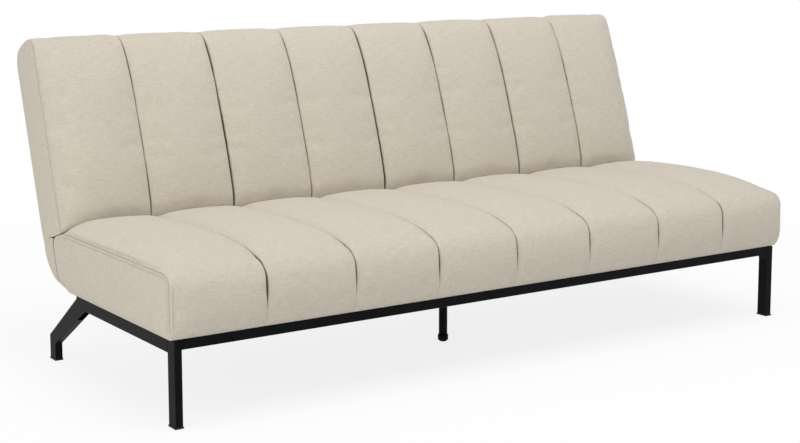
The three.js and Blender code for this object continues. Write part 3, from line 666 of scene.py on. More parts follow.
def smooth_path(points, steps=10):
    """A smooth line through points that may be unevenly spaced."""
    points = np.asarray(points, float)
    chord = np.linalg.norm(np.diff(points, axis=0), axis=1)[:, None]
    slope = np.diff(points, axis=0) / chord
    middle = (slope[:-1] * chord[1:] + slope[1:] * chord[:-1]) / (chord[:-1] + chord[1:])
    tangent = np.vstack([slope[:1], middle, slope[-1:]])
    t = np.linspace(0, 1, steps, endpoint=False)[:, None]
    run = []
    for i in range(len(points) - 1):
        start = (1 + 2 * t) * (1 - t) ** 2 * points[i] + t * (1 - t) ** 2 * chord[i] * tangent[i]
        end = t ** 2 * (3 - 2 * t) * points[i + 1] + t ** 2 * (t - 1) * chord[i] * tangent[i + 1]
        run.append(start + end)
    return np.vstack([*run, points[-1:]])


def resampled(path, count):
    """Evenly spaced points along a path, without its last point."""
    reach = np.concatenate([[0], np.cumsum(np.linalg.norm(np.diff(path, axis=0), axis=1))])
    wanted = np.linspace(0, reach[-1], count, endpoint=False)
    return np.stack([np.interp(wanted, reach, path[:, axis]) for axis in (0, 1)], -1)


def split_near(path, place):
    at = int(np.argmin(np.linalg.norm(path - np.asarray(place), axis=1)))
    return path[:at + 1], path[at:]


def arc(centre, radius, start, end, steps=3):
    angles = np.radians(np.linspace(start, end, steps + 1))
    return [(centre[0] + radius * math.cos(a), centre[1] + radius * math.sin(a)) for a in angles]


def fullness(x):
    """How full the padding is across the width: 0 at the side seam, 1 in mid channel."""
    from_end = HALF_WIDTH - abs(x)
    roll = math.sqrt(max(0, 1 - (1 - min(1, from_end / END_ROLL)) ** 2))
    in_channel = (from_end / PITCH) % 1
    swell = 1 if from_end < PITCH / 2 else 1 - abs(2 * in_channel - 1) ** CHANNEL_POWER
    return roll * (VALLEY_SHARE + (1 - VALLEY_SHARE) * swell)


FRONT_SHARES = ((0, 0), (0.1, 0.62), (0.27, 0.95), (0.5, 1), (0.71, 0.95))
CORNER_SHARES = ((180, 0.85, 0.03), (150, 0.62, 0.1), (120, 0.35, 0.17), (90, 0.05, 0.23))
TOP_SHARES = (
    0.07, 0.1, 0.13, 0.17, 0.21, 0.27, 0.33, 0.4, 0.48, 0.56, 0.64, 0.72, 0.79, 0.85, 0.9,
)
ROLL_SHARES = ((1, 0.92), (0.76, 0.75), (0.63, 0.47), (0.38, 0.19), (0, 0))
HEEL_SHARES = (
    (1, 1), (0.8, 0.61), (0.55, 0.33), (0.46, 0.12),
    (0.39, -0.02), (0.3, -0.035), (0.1, -0.03), (0, 0),
)
COVER_SEWN_SHARES = (0.55, 0.4)


def seat_rise(y):
    fall = max(0, y - SEAT_FALL_START) / SEAT_FALL_LENGTH
    return SEAT_CROWN * (1 - math.exp(-y / CROWN_EASE)) * (1 - SEAT_FALL_SHARE * fall ** 2)


def seat_front_and_top(full):
    """The line from the foot of the front, over the corner and the top, down to the crease."""
    bulge = FRONT_SWELL + full * FRONT_CROWN
    height = seat_seam - seat_floor
    line = [(-bulge * out, seat_floor + height * up) for up, out in FRONT_SHARES]
    for angle, back, rise in CORNER_SHARES:
        turn = math.radians(angle)
        y = FRONT_CORNER - FRONT_SWELL + FRONT_CORNER * math.cos(turn) - full * FRONT_CROWN * back
        line.append((y, seat_seam - FRONT_CORNER + FRONT_CORNER * math.sin(turn) + full * SEAT_CROWN * rise))
    line += [(share * crease_y, seat_seam + full * seat_rise(share * crease_y)) for share in TOP_SHARES]
    roll_rise = seat_rise(crease_y - REAR_ROLL)
    for back, rise in ROLL_SHARES:
        drop = CREASE_DROP * (1 - back) ** 2
        line.append((crease_y - REAR_ROLL * back, seat_seam - drop + full * roll_rise * rise))
    return line


def seat_chains(full):
    """The seat's closed outline as four lines: front, top, rear and bottom."""
    outer = smooth_path(seat_front_and_top(full))
    corner = (-full * FRONT_CROWN / 2, seat_seam + full * SEAT_CROWN / 8)
    front, top = split_near(outer, corner)
    crease = tuple(outer[-1])
    turn = math.degrees(flat_turn)
    rear = [crease, *arc((pivot_y, pivot.z), SEAT_ROUND, turn, 0, 6), heel]
    lower = [(rail_end + HEEL_RUN * run, seat_floor + (heel[1] - seat_floor) * up) for run, up in HEEL_SHARES]
    bottom = np.vstack([smooth_path(lower), [outer[0]]])
    return front, top, np.asarray(rear), bottom


BACK_FRONT_SHARES = (
    0.89, 0.845, 0.8, 0.745, 0.69, 0.63, 0.565, 0.5, 0.44, 0.375, 0.31, 0.255, 0.2, 0.165, 0.135,
)
TOP_ARC_SHARES = (0, 0.35, 0.75, 1)
REAR_SHARES = (0.01, 0.04, 0.25, 0.5, 0.75, 0.95, 0.985)
LOW_RUN_SHARES = ((1, 0, 0.92), (0.56, 0, 0.8), (0.25, 0, 0.64), (0.06, 0, 0.38), (0, 0.08, 0.12))


def back_rise(y):
    fall = max(0, BACK_FALL_START - y) / BACK_FALL_LENGTH
    ease = 1 - math.exp(-max(0, BACK_LENGTH - y) / CROWN_EASE)
    return BACK_CROWN * ease * (1 - BACK_FALL_SHARE * fall ** 2)


def back_chains(full):
    """The back's closed outline, lying flat, as four lines: front, top, rear and lower end."""
    run_rise = back_rise(BACK_START + LOW_RUN)
    low_front = [
        (BACK_START + LOW_RUN * run, BACK_SEAM * (1 - drop) + full * run_rise * rise)
        for run, drop, rise in LOW_RUN_SHARES
    ]
    front = [
        (share * BACK_LENGTH, BACK_SEAM + full * back_rise(share * BACK_LENGTH))
        for share in BACK_FRONT_SHARES
    ]
    top_centre = (BACK_LENGTH - TOP_FRONT_RADIUS, BACK_SEAM - TOP_FRONT_RADIUS)
    top_front = [
        (y + full * TOP_CROWN * (1 - share / 2), z + full * back_rise(y) * share)
        for (y, z), share in zip(arc(top_centre, TOP_FRONT_RADIUS, 0, 90), TOP_ARC_SHARES)
    ]
    rear_centre = (BACK_LENGTH - BACK_END_TAPER - TOP_BACK_RADIUS, TOP_BACK_RADIUS - BACK_DEPTH)
    top_back = arc(rear_centre, TOP_BACK_RADIUS, 270, 360, 4)
    low_y = BACK_START + BACK_END_TAPER + LOW_BACK_RADIUS
    low = arc((low_y, LOW_BACK_RADIUS - BACK_DEPTH), LOW_BACK_RADIUS, 180, 270, 4)
    rear = [(low_y + (rear_centre[0] - low_y) * share, -BACK_DEPTH) for share in REAR_SHARES]
    end = [(BACK_START, 0), (BACK_START + BACK_END_TAPER / 2, -BACK_DEPTH / 2)]
    upper = low_front[::-1] + front[::-1] + top_front[::-1] + top_back[::-1]
    path = smooth_path([*upper, *rear[::-1], *low[::-1], *end[::-1], upper[0]])
    front_line, rest = split_near(path, top_front[1])
    top_line, rest = split_near(rest, top_back[2])
    rear_line, low_line = split_near(rest, low[2])
    return front_line, top_line, rear_line, low_line


def tilted(points):
    """Points of the flat back brought to where they stand at rest, measured from the frame's front."""
    points = np.asarray(points, float)
    turn, y, z = flat_turn, points[..., 0], points[..., 1]
    return np.stack([
        pivot_y + y * math.cos(turn) - z * math.sin(turn),
        pivot.z + y * math.sin(turn) + z * math.cos(turn),
    ], -1)


# Padded forms

CHANNEL_STEPS = (0, 0.05, 0.115, 0.19, 0.28, 0.38, 0.49, 0.61, 0.74, 0.87)
END_STEPS = (0, 0.014, 0.04, 0.08, 0.135, 0.2, 0.28, 0.37, 0.47, 0.58, 0.7, 0.85)
PANEL_STEPS = (0.002, 0.0045, 0.008, 0.0115, 0.016, 0.023, 0.034)


def stations():
    """Places across the width, close together at the seams."""
    half = PITCH / 2
    places = [half * share for share in END_STEPS]
    for channel in range(CHANNELS):
        start = channel * PITCH
        rising = CHANNEL_STEPS if channel else ()
        places += [start + half * share for share in rising]
        falling = END_STEPS if channel == CHANNELS - 1 else CHANNEL_STEPS
        places += [start + PITCH - half * share for share in (1, *falling[:0:-1])]
    return [place - HALF_WIDTH for place in [*places, 2 * HALF_WIDTH]]


def drawn_in(x, share_of_height, draw_in):
    """Where a place across the width comes to when the side is drawn in, at shares of the height."""
    near = np.maximum(0, 1 - (HALF_WIDTH - np.abs(x)) / END_ROLL) ** 2
    return x - np.sign(x) * near * draw_in * (1 - np.sin(math.pi / 2 * np.clip(share_of_height, 0, 1)))


def seat_draw_in(places):
    height = (places[:, 2] - seat_floor) / (seat_seam - seat_floor) / DRAW_IN_SHARE
    return drawn_in(places[:, 0], height, FOOT_DRAW_IN)


def back_draw_in(places):
    up = laid_flat(places)[1]
    return drawn_in(places[:, 0], (up + BACK_DEPTH) / BACK_DEPTH, BACK_REAR_DRAW_IN)


def seat_ring(x, counts):
    chains = seat_chains(fullness(x))
    ring = np.vstack([resampled(chain, count) for chain, count in zip(chains, counts)])
    return np.column_stack([np.full(len(ring), x), ring[:, 0] + front_y, ring[:, 1]])


def back_ring(x, counts):
    chains = back_chains(fullness(x))
    ring = tilted(np.vstack([resampled(chain, count) for chain, count in zip(chains, counts)]))
    return np.column_stack([np.full(len(ring), x), ring[:, 0] + front_y, ring[:, 1]])


def towards_core(ring, core, distance):
    """The ring drawn towards the middle line of a side panel, which runs between the core's two points."""
    start, run = core[0], core[1] - core[0]
    share = np.clip((ring[:, 1:] - start) @ run / (run @ run), 0, 1)
    way = start + share[:, None] * run - ring[:, 1:]
    moved = ring.copy()
    moved[:, 1:] += way / np.linalg.norm(way, axis=1)[:, None] * distance
    return moved


def wrap_surface(rings, panels):
    """A tube of cloth through the rings, mapped in metres, with the side panels at its two ends."""
    count = len(rings[0])
    bm = bmesh.new()
    bmesh.ops.create_grid(bm, x_segments=len(rings) - 1, y_segments=count, size=0.5)
    middle = rings[len(rings) // 2 + CLEAR_OF_SEAM]
    wrap = np.concatenate([[0], np.cumsum(np.linalg.norm(np.roll(middle, -1, 0) - middle, axis=1))])
    cloth = bm.loops.layers.uv.new("cloth")
    spots = {}
    for vertex in bm.verts:
        i = round((vertex.co.x + 0.5) * (len(rings) - 1))
        j = round((vertex.co.y + 0.5) * count)
        spots[vertex] = (i, j)
    for vertex, (i, j) in spots.items():
        vertex.co = rings[i][j % count]
    for face in bm.faces:
        columns = [spots[vertex][0] for vertex in face.verts]
        on_panel = min(columns) < panels or max(columns) > len(rings) - 1 - panels
        for loop in face.loops:
            i, j = spots[loop.vert]
            loop[cloth].uv = loop.vert.co.yz if on_panel else (rings[i][0][0], wrap[j])
    bmesh.ops.remove_doubles(bm, verts=bm.verts, dist=MERGE)
    return bm, cloth


def close_end(bm, cloth, ring, counts):
    """Fills the middle of a side panel with a grid between the ring's two long lines."""
    middles = (ring + np.roll(ring, -1, 0)) / 2
    line_of = np.repeat(range(len(counts)), counts)
    first_long = int(counts[1] > counts[0])
    long_edges = []
    for edge in bm.edges:
        if edge.is_boundary and (edge.verts[0].co.x > 0) == (ring[0][0] > 0):
            middle = np.asarray((edge.verts[0].co + edge.verts[1].co) / 2)
            nearest = np.linalg.norm(middles - middle, axis=1).argmin()
            if line_of[nearest] % 2 == first_long:
                long_edges.append(edge)
    for face in bmesh.ops.grid_fill(bm, edges=long_edges)["faces"]:
        for loop in face.loops:
            loop[cloth].uv = loop.vert.co.yz


def from_outline(places, outline):
    """Shortest distance in the side plane from each place to a closed outline."""
    start = outline
    run = np.roll(outline, -1, 0) - start
    length = np.maximum((run ** 2).sum(1), 1e-12)
    share = np.clip(((places[:, None] - start) * run).sum(2) / length, 0, 1)
    nearest = start + share[..., None] * run
    return np.linalg.norm(places[:, None] - nearest, axis=2).min(1)


def padded_skin(name, ring_at, core, counts, draw_in):
    """The closed skin of a cushion before it is filled."""
    side = ring_at(-HALF_WIDTH, counts)
    left = [towards_core(side, core, step) for step in PANEL_STEPS[::-1]]
    right = [ring * np.array([-1, 1, 1]) for ring in left[::-1]]
    rings = [*left, *(ring_at(x, counts) for x in stations()), *right]
    bm, cloth = wrap_surface(rings, len(PANEL_STEPS))
    close_end(bm, cloth, rings[0], counts)
    close_end(bm, cloth, rings[-1], counts)
    bmesh.ops.recalc_face_normals(bm, faces=bm.faces)
    mesh = mesh_from(name, bm)
    places = coordinates(mesh)
    ends = np.abs(places[:, 0]) > HALF_WIDTH - PANEL_EDGE
    away = from_outline(places[ends][:, 1:], side[:, 1:])
    swell = SIDE_PANEL_SWELL * (1 - np.exp(-away / PANEL_SWELL_REACH))
    places[ends, 0] = np.sign(places[ends, 0]) * (HALF_WIDTH + swell)
    places[:, 0] = draw_in(places)
    place_vertices(mesh, places)
    return mesh


def seam_distance(places):
    """How far each place is from the nearest channel seam, and which seam that is."""
    number = np.clip(np.round((places[:, 0] + HALF_WIDTH) / PITCH), 1, CHANNELS - 1)
    return np.abs(places[:, 0] + HALF_WIDTH - number * PITCH), number


def unevenness(places, size, amount):
    return np.array([noise.noise(Vector(place) / size) for place in places]) * amount


def vertex_normals(mesh):
    normals = np.zeros(len(mesh.vertices) * 3, np.float32)
    mesh.vertex_normals.foreach_get("vector", normals)
    return normals.reshape(-1, 3).astype(float)


def cut_beside_seams(piece):
    """Runs extra edges along each channel seam, so that its slit can be narrow."""
    bm = bmesh.new()
    bm.from_mesh(piece.data)
    for channel in range(1, CHANNELS):
        seam = channel * PITCH - HALF_WIDTH
        for offset in SEAM_CUTS:
            for side in (-1, 1):
                x = seam + side * offset
                near = [face for face in bm.faces if abs(face.calc_center_median().x - x) < CUT_REACH]
                around = [*near, *{e for f in near for e in f.edges}, *{v for f in near for v in f.verts}]
                bmesh.ops.bisect_plane(bm, geom=around, dist=MERGE, plane_co=(x, 0, 0), plane_no=(1, 0, 0))
    bm.to_mesh(piece.data)
    bm.free()


def near_side(places, outline):
    """Which places are near a side of the cushion, and how far each is from that side's outline."""
    at_side = np.abs(places[:, 0]) > HALF_WIDTH - SIDE_BAND
    away = np.full(len(places), 1.0)
    away[at_side] = from_outline(places[at_side][:, 1:], outline)
    return at_side, away


def finish_cushion(piece, seam_strength, side_outline, rest_mask, topstitched):
    """Subdivides a filled cushion, then presses in its seams and topstitching, and paints shade into their
    grooves.
    """
    subdivide_once(piece)
    cut_beside_seams(piece)
    mesh = piece.data
    places, normals = coordinates(mesh), vertex_normals(mesh)
    soft = rest_mask(places)
    from_seam, number = seam_distance(places)
    along_seam = places * (0, 1, 1) + number[:, None] * (SEAM_DRIFT_STEP, 0, 0)
    drift = unevenness(along_seam, SEAM_DRIFT_LENGTH, SEAM_DRIFT)
    strength = seam_strength(places) * (SEAM_MEAN + drift)
    width = SEAM_HALF_WIDTH * (SLIT_WIDTHS[0] + SLIT_WIDTHS[1] * strength)
    slit = 1 - smooth_step(from_seam / width, SLIT_CORE, 1.0)
    pinch = PINCH_DEPTH * line_mark(from_seam, PINCH_WIDTH) ** 2
    depth = SEAM_DEPTH * slit * np.minimum(strength, DEEPEST_SEAM) + pinch * soft
    at_side, away = near_side(places, side_outline)
    at_panel = np.abs(places[:, 0]) > HALF_WIDTH - FOOT_DRAW_IN - PANEL_PLAY
    on_panel = at_side & at_panel & (away > PANEL_START)
    near_end = line_mark(HALF_WIDTH - np.abs(places[:, 0]), SIDE_SEAM_REACH)
    side_seam = np.where(at_side, line_mark(away, SIDE_SEAM_WIDTH), 0) * near_end * soft
    stitch_line = line_mark(np.abs(away - TOPSTITCH_INSET), SIDE_SEAM_WIDTH)
    topstitch = np.where(on_panel, stitch_line, 0) * soft * topstitched
    depth += SIDE_SEAM_DEPTH * side_seam + TOPSTITCH_DEPTH * topstitch
    lumps = unevenness(places, *LARGE_LUMPS) + unevenness(places, *SMALL_LUMPS)
    places += normals * (lumps * soft - depth)[:, None]
    place_vertices(mesh, places)
    # Painted shade: the seam slits, side seams and topstitch lines get a value that darkens the linen,
    # standing in for the shade in their grooves
    shade = slit * strength * SEAM_PAINTED_SHADE + SIDE_SEAM_PAINTED_SHADE * side_seam + TOPSTITCH_PAINTED_SHADE * topstitch
    write_value(mesh, "seam", np.clip(shade, 0, 1))
    shade_smooth(mesh)


def inflate(piece, held, pressure, cap):
    """Fills a skin with the cloth simulation, with its sewn and resting lines held."""
    scene = bpy.context.scene
    start = coordinates(piece.data)
    group = piece.vertex_groups.new(name="held")
    group.add([int(k) for k in np.flatnonzero(held > 0.999)], 1.0, "REPLACE")
    cloth = piece.modifiers.new("filling", "CLOTH")
    settings = cloth.settings
    for name, value in FILLING.items():
        setattr(settings, name, value)
    settings.uniform_pressure_force = pressure
    settings.effector_weights.gravity = 0
    cloth.collision_settings.use_collision = False
    cloth.point_cache.frame_start = 1
    cloth.point_cache.frame_end = SIMULATED_FRAMES
    for number in range(1, SIMULATED_FRAMES + 1):
        scene.frame_set(number)
    seen = piece.evaluated_get(bpy.context.evaluated_depsgraph_get())
    moved = coordinates(seen.data) - start
    travel = np.linalg.norm(moved, axis=1)
    moved *= (np.minimum(travel, cap) / np.maximum(travel, 1e-9))[:, None]
    piece.modifiers.clear()
    piece.vertex_groups.clear()
    scene.frame_set(1)
    place_vertices(piece.data, start + moved)


SEAT_COUNTS = (14, 52, 14, 52)
BACK_COUNTS = (48, 12, 48, 12)


def seat_seam_strength(places):
    """How open a channel's seam is: a soft valley on top, a dark slit round the front, closed at the foot."""
    y, z = places[:, 1] - front_y, places[:, 2]
    on_top = eased(VALLEY_OPEN, 1 - smooth_step(y, *VALLEY_SPAN))
    foot = eased(FOOT_OPEN, smooth_step(z, SLIT_END, SLIT_FULL))
    return on_top * foot * (y < crease_y + CREASE_MARGIN) * (z > seat_floor + FOOT_MARGIN)


def seat_soft_mask(places):
    """1 on the seat's seen faces, 0 where it rests on the frame or faces the hinge."""
    clear = smooth_step(places[:, 2], seat_floor + FOOT_START, seat_floor + FOOT_REST)
    return clear * (places[:, 1] < front_y + crease_y + CREASE_MARGIN)


def laid_flat(places):
    """Places on the standing back, as (along, up) from the hinge axis with the back lying flat."""
    y, z = places[:, 1] - pivot.y, places[:, 2] - pivot.z
    turn = flat_turn
    return y * math.cos(turn) + z * math.sin(turn), z * math.cos(turn) - y * math.sin(turn)


def past_lower_end(along):
    """0 at the lower end of the back, 1 a little way up it."""
    return smooth_step(along, BACK_START + LOW_EASE[0], BACK_START + LOW_EASE[1])


def back_seam_strength(places):
    """How open a channel's seam is: softer over the top, with a strength of its own for each seam."""
    along, up = laid_flat(places)
    over_top = eased(TOP_OPEN, smooth_step(BACK_LENGTH - along, 0.0, TOP_OPEN_RUN))
    over_top *= np.array(BACK_SEAM_SHARES)[seam_distance(places)[1].astype(int) - 1]
    return smooth_step(up, *REAR_SEAM_SPAN) * past_lower_end(along) * over_top


def back_soft_mask(places):
    along, up = laid_flat(places)
    return smooth_step(up, -BACK_DEPTH, REAR_EASE - BACK_DEPTH) * past_lower_end(along)


def held_lines(places, side, soft):
    """1 where a skin is sewn or rests: the seams, the edges of the side panels and the hidden faces."""
    from_seam = seam_distance(places)[0]
    away = near_side(places, side)[1]
    sewn = (from_seam < HELD_SEAM) | (away < HELD_SIDE)
    return np.where(sewn | (soft < FREE_SHARE), 1.0, 0.0)


def make_cushion(name, ring_at, core, counts, draw_in, strength, rest_mask, topstitched, body, pressure):
    mesh = padded_skin(name, ring_at, core, counts, draw_in)
    piece = new_piece(name, mesh, linen)
    outline = np.asarray(ring_at(-HALF_WIDTH, counts))[:, 1:]
    places = coordinates(mesh)
    inflate(piece, held_lines(places, outline, rest_mask(places)), pressure, SWELL_CAP)
    finish_cushion(piece, strength, outline, rest_mask, topstitched)
    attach(piece, body)
    return piece


seat_half = (seat_seam - seat_floor) / 2
seat_core = np.array([
    (front_y + seat_half, seat_floor + seat_half),
    (front_y + rail_end - seat_half / 2, seat_floor + seat_half),
])
back_half = (BACK_SEAM + BACK_DEPTH) / 2
back_core = tilted([
    (BACK_START + back_half, BACK_SEAM - back_half),
    (BACK_LENGTH - back_half, BACK_SEAM - back_half),
]) + (front_y, 0)
seat = make_cushion(
    "seat_padding", seat_ring, seat_core, SEAT_COUNTS, seat_draw_in,
    seat_seam_strength, seat_soft_mask, 1, "base", SEAT_PRESSURE,
)
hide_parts("seat_cushion")
back = make_cushion(
    "back_padding", back_ring, back_core, BACK_COUNTS, back_draw_in,
    back_seam_strength, back_soft_mask, 0, "back", BACK_PRESSURE,
)
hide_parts("back_cushion")


# Sheets

def sheet_grid(places, uv):
    """A sheet through rows and columns of places, with its cloth map in metres."""
    columns, rows = places.shape[:2]
    bm = bmesh.new()
    bmesh.ops.create_grid(bm, x_segments=columns - 1, y_segments=rows - 1, size=0.5)
    cloth = bm.loops.layers.uv.new("cloth")
    for vertex in bm.verts:
        i = round((vertex.co.x + 0.5) * (columns - 1))
        j = round((vertex.co.y + 0.5) * (rows - 1))
        vertex.co = places[i, j]
        for loop in vertex.link_loops:
            loop[cloth].uv = uv[i, j]
    return bm


def finish_sheet(name, bm, material, thickness, outward):
    """Gives a sheet its thickness on the inner side, and smooths it."""
    bm.normal_update()
    largest = max(bm.faces, key=lambda face: face.calc_area())
    if largest.normal.dot(Vector(outward)) < 0:
        bmesh.ops.reverse_faces(bm, faces=bm.faces)
    piece = new_piece(name, mesh_from(name, bm), material)
    solid = piece.modifiers.new("thickness", "SOLIDIFY")
    solid.thickness = thickness
    solid.offset = -1
    subdivide_once(piece)
    shade_smooth(piece.data)
    return piece


def area_of(bm):
    return sum(face.calc_area() for face in bm.faces)


def spaced(low, high, step):
    """Places from low to high about one step apart, closer together near both ends."""
    near_end = np.array(SHEET_EDGE_STEPS)
    margin = SHEET_EDGE_STEPS[-1] * 2
    inner = np.linspace(low + margin, high - margin, max(2, round((high - low) / step)))
    return np.concatenate([low + near_end, inner, high - near_end[::-1]])


def spaced_grid(low, high):
    """Rows and columns of places over a rectangle, closer together near its edges."""
    across, along = (spaced(low[axis], high[axis], SHEET_STEP) for axis in (0, 1))
    return np.meshgrid(across, along, indexing="ij")


COVER_SHARES = (
    (1, 1), (0.96, 0.745), (0.846, 0.509), (0.645, 0.303), (0.351, 0.121), (0.172, 0.057), (0, 0),
)
CHEEK_SHARES = (0, 0.2, 0.4, 0.6, 0.8, 0.94)
CREVICE_TURN = 46


def cover_lines():
    """The cover's outer line and its cheeks' inner edge, from the back down to the seat's heel."""
    hem = (BACK_START + BACK_END_TAPER + COVER_TOP_HEM, -BACK_DEPTH - REAR_COVER_PROUD)
    top = tilted((BACK_START + BACK_END_TAPER - COVER_PLAY, COVER_TOP_RISE - BACK_DEPTH))
    run, rise = COVER_SEWN_SHARES
    sewn = np.array([rail_end + HEEL_RUN * run, seat_floor + (heel[1] - seat_floor) * rise])
    axis = np.array([pivot_y, pivot.z])
    away = (sewn - axis) / np.linalg.norm(sewn - axis)
    low = sewn + away * COVER_STAND_OFF
    outer = [tilted(hem), *(low + np.array(share) * (top - low) for share in COVER_SHARES)]
    radius = SEAT_ROUND + COVER_GAP
    crevice = arc(axis, radius, CREVICE_TURN, 0, 6)
    inner = [*crevice, (heel[0] + COVER_GAP, heel[1]), tuple(low + COVER_HEEL_PLAY)]
    return smooth_path(outer), np.asarray(inner), top


def make_hinge_cover():
    """One piece of linen from the foot of the back to the seat's heel, its ends turned in as cheeks."""
    outer, inner, top = cover_lines()
    outer_length = np.linalg.norm(np.diff(outer, axis=0), axis=1).sum()
    outer = np.vstack([resampled(outer, COVER_ROWS), outer[-1:]])
    inner = np.vstack([resampled(inner, COVER_ROWS), inner[-1:]])
    reach = np.linspace(0, outer_length, COVER_ROWS + 1)
    down = np.linspace(0, 1, COVER_ROWS + 1)
    normal = np.gradient(outer, axis=0) @ np.array([[0, -1], [1, 0]])
    normal /= np.linalg.norm(normal, axis=1)[:, None]
    half = HALF_WIDTH + COVER_OVERHANG
    cheek_depth = np.linalg.norm(outer - inner, axis=1)
    columns, cloth = [], []
    for share in CHEEK_SHARES:
        line = inner + (outer - inner) * share
        bulge = CHEEK_BULGE * math.sin(math.pi * share) * np.sin(math.pi * down)
        columns.append(np.column_stack([-half - bulge, line]))
        cloth.append(np.column_stack([-half - cheek_depth * (1 - share), reach]))
    for x in spaced(COVER_TURN - half, half - COVER_TURN, COVER_COLUMN):
        fold = sum(
            share * np.array([noise.noise(Vector((x / length, d * turns, seed))) for d in down])
            for length, turns, seed, share in COVER_FOLDS
        )
        hang = np.sin(math.pi * down) ** COVER_GATHER_POWER
        slack = COVER_GATHER * fold * hang * min(1, (half - abs(x)) / COVER_END_EASE)
        columns.append(np.column_stack([np.full(len(down), x), outer + normal * slack[:, None]]))
        cloth.append(np.column_stack([np.full(len(down), x), reach]))
    last = len(CHEEK_SHARES) - 1
    for column, spots in zip(columns[last::-1], cloth[last::-1]):
        columns.append(column * np.array([-1, 1, 1]))
        cloth.append(spots * np.array([-1, 1]))
    places = np.array(columns)
    places[..., 1] += front_y
    flat = places.reshape(-1, 3)
    inmost = np.minimum(np.abs(seat_draw_in(flat)), np.abs(back_draw_in(flat)))
    flat[:, 0] = np.sign(flat[:, 0]) * inmost
    bm = sheet_grid(places, np.array(cloth))
    area = area_of(bm)
    piece = finish_sheet("hinge_cover_cloth", bm, linen, COVER_THICKNESS, (0, 0.6, -0.8))
    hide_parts("hinge_cover")
    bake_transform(piece)


make_hinge_cover()


def hem_height(from_edge):
    """How far a cover stands off what it lies on: a doubled hem with its stitches, then one layer."""
    doubled = 1 - smooth_step(from_edge, HEM_WIDTH, HEM_WIDTH + HEM_EASE)
    stitched = line_mark(np.abs(from_edge - TOPSTITCH_INSET), HEM_STITCH_WIDTH)
    hem = HEM_HEIGHT * doubled * smooth_step(from_edge, 0, HEM_EDGE)
    return REAR_COVER_PROUD + hem - HEM_STITCH_SINK * stitched


def make_rear_cover():
    """Linen stretched over the rear opening of the back, with a stitched hem all round."""
    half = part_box("back_rear_cover")[1].x
    x, y = spaced_grid((-half, REAR_COVER_START), (half, REAR_COVER_END))
    middle = (REAR_COVER_START + REAR_COVER_END) / 2
    half_length = (REAR_COVER_END - REAR_COVER_START) / 2
    from_edge = np.minimum(half - np.abs(x), half_length - np.abs(y - middle))
    waves = waves_over(x, y, REAR_WAVES, 2.0) * smooth_step(from_edge, HEM_WIDTH, REAR_WAVE_EASE)
    up = -BACK_DEPTH - hem_height(from_edge) + REAR_WAVE_HEIGHT * waves - SHEET_THICKNESS
    beyond_x = np.maximum(np.abs(x) - (half - REAR_COVER_CORNER), 0)
    beyond_y = np.maximum(np.abs(y - middle) - (half_length - REAR_COVER_CORNER), 0)
    beyond = np.hypot(beyond_x, beyond_y)
    pull = np.maximum(beyond - REAR_COVER_CORNER, 0) / np.maximum(beyond, 1e-9)
    x = x - np.sign(x) * beyond_x * pull
    y = y - np.sign(y - middle) * beyond_y * pull
    line = tilted(np.stack([y, up], -1))
    places = np.stack([x, line[..., 0] + front_y, line[..., 1]], -1)
    bm = sheet_grid(places, np.stack([x, y], -1))
    piece = finish_sheet("rear_cover_cloth", bm, linen, SHEET_THICKNESS, REAR_OUTWARD)
    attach(piece, "back")
    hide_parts("back_rear_cover")


make_rear_cover()


def make_dust_cover():
    """Thin black cloth stapled under the seat's timber, sagging a little between the steel rails."""
    low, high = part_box("seat_dust_cover")
    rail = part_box("centre_rail")[1]
    rear_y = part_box("rear_rail")[0].y
    x, y = spaced_grid(low, high)
    free_width = high.x - rail.x - 2 * DUST_SIDE_INSET
    across = np.clip((np.abs(x) - rail.x - DUST_SIDE_INSET) / free_width, 0, 1)
    along = np.clip((y - low.y - DUST_FRONT_INSET) / (rear_y - low.y - DUST_INSETS), 0, 1)
    hang = (4 * across * (1 - across)) ** DUST_HANG_POWERS[0]
    hang = hang * (4 * along * (1 - along)) ** DUST_HANG_POWERS[1]
    drop = hang * (DUST_SAG + DUST_WAVE_HEIGHT * waves_over(x, y, DUST_WAVES, 7.0))
    places = np.stack([x, y, seat_floor - DUST_DROP - drop], -1)
    bm = sheet_grid(places, np.stack([x, y], -1))
    piece = finish_sheet("dust_cover_cloth", bm, dust_cloth, DUST_THICKNESS, (0, 0, -1))
    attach(piece, "base")
    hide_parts("seat_dust_cover")


make_dust_cover()


def make_strap(number):
    """Elastic webbing stretched across the back's frame."""
    name = "back_strap_%d" % number
    low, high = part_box(name)
    centre = (low + high) / 2
    along, up = laid_flat(np.array([centre]))
    places = []
    rows = np.linspace(-0.5, 0.5, STRAP_ROWS)
    for x in np.linspace(low.x, high.x, STRAP_COLUMNS):
        sag = STRAP_SAG * (1 - (x / high.x) ** 2)
        edge = rows * STRAP_WIDTH * (1 - STRAP_WAIST * (1 - (x / high.x) ** STRAP_WAIST_POWER))
        line = tilted(np.stack([along + edge, np.full(STRAP_ROWS, up[0] - sag)], -1))
        places.append(np.column_stack([np.full(STRAP_ROWS, x), line[:, 0] + front_y, line[:, 1]]))
    places = np.array(places)
    bm = sheet_grid(places, np.stack([places[..., 0], places[..., 2]], -1))
    piece = finish_sheet(name + "_webbing", bm, webbing, STRAP_THICKNESS, REAR_OUTWARD)
    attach(piece, "back")
    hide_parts(name)


for strap in (1, 2, 3):
    make_strap(strap)


# Stitches

def sew(name, spots, body):
    """A row of stitches: one short bead of thread for each place and direction."""
    shape = bmesh.new()
    size = Matrix.Diagonal((STITCH_RADIUS, STITCH_RADIUS, STITCH_LENGTH / 2, 1))
    bmesh.ops.create_uvsphere(shape, u_segments=6, v_segments=4, radius=1, matrix=size)
    bead = mesh_from("stitch", shape)
    bm = bmesh.new()
    for place, way in spots:
        turn = Vector(way).to_track_quat("Z", "Y").to_matrix().to_4x4()
        placed = bead.copy()
        placed.transform(Matrix.Translation(place) @ turn)
        bm.from_mesh(placed)
        bpy.data.meshes.remove(placed)
    piece = new_piece(name, mesh_from(name, bm), thread)
    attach(piece, body)


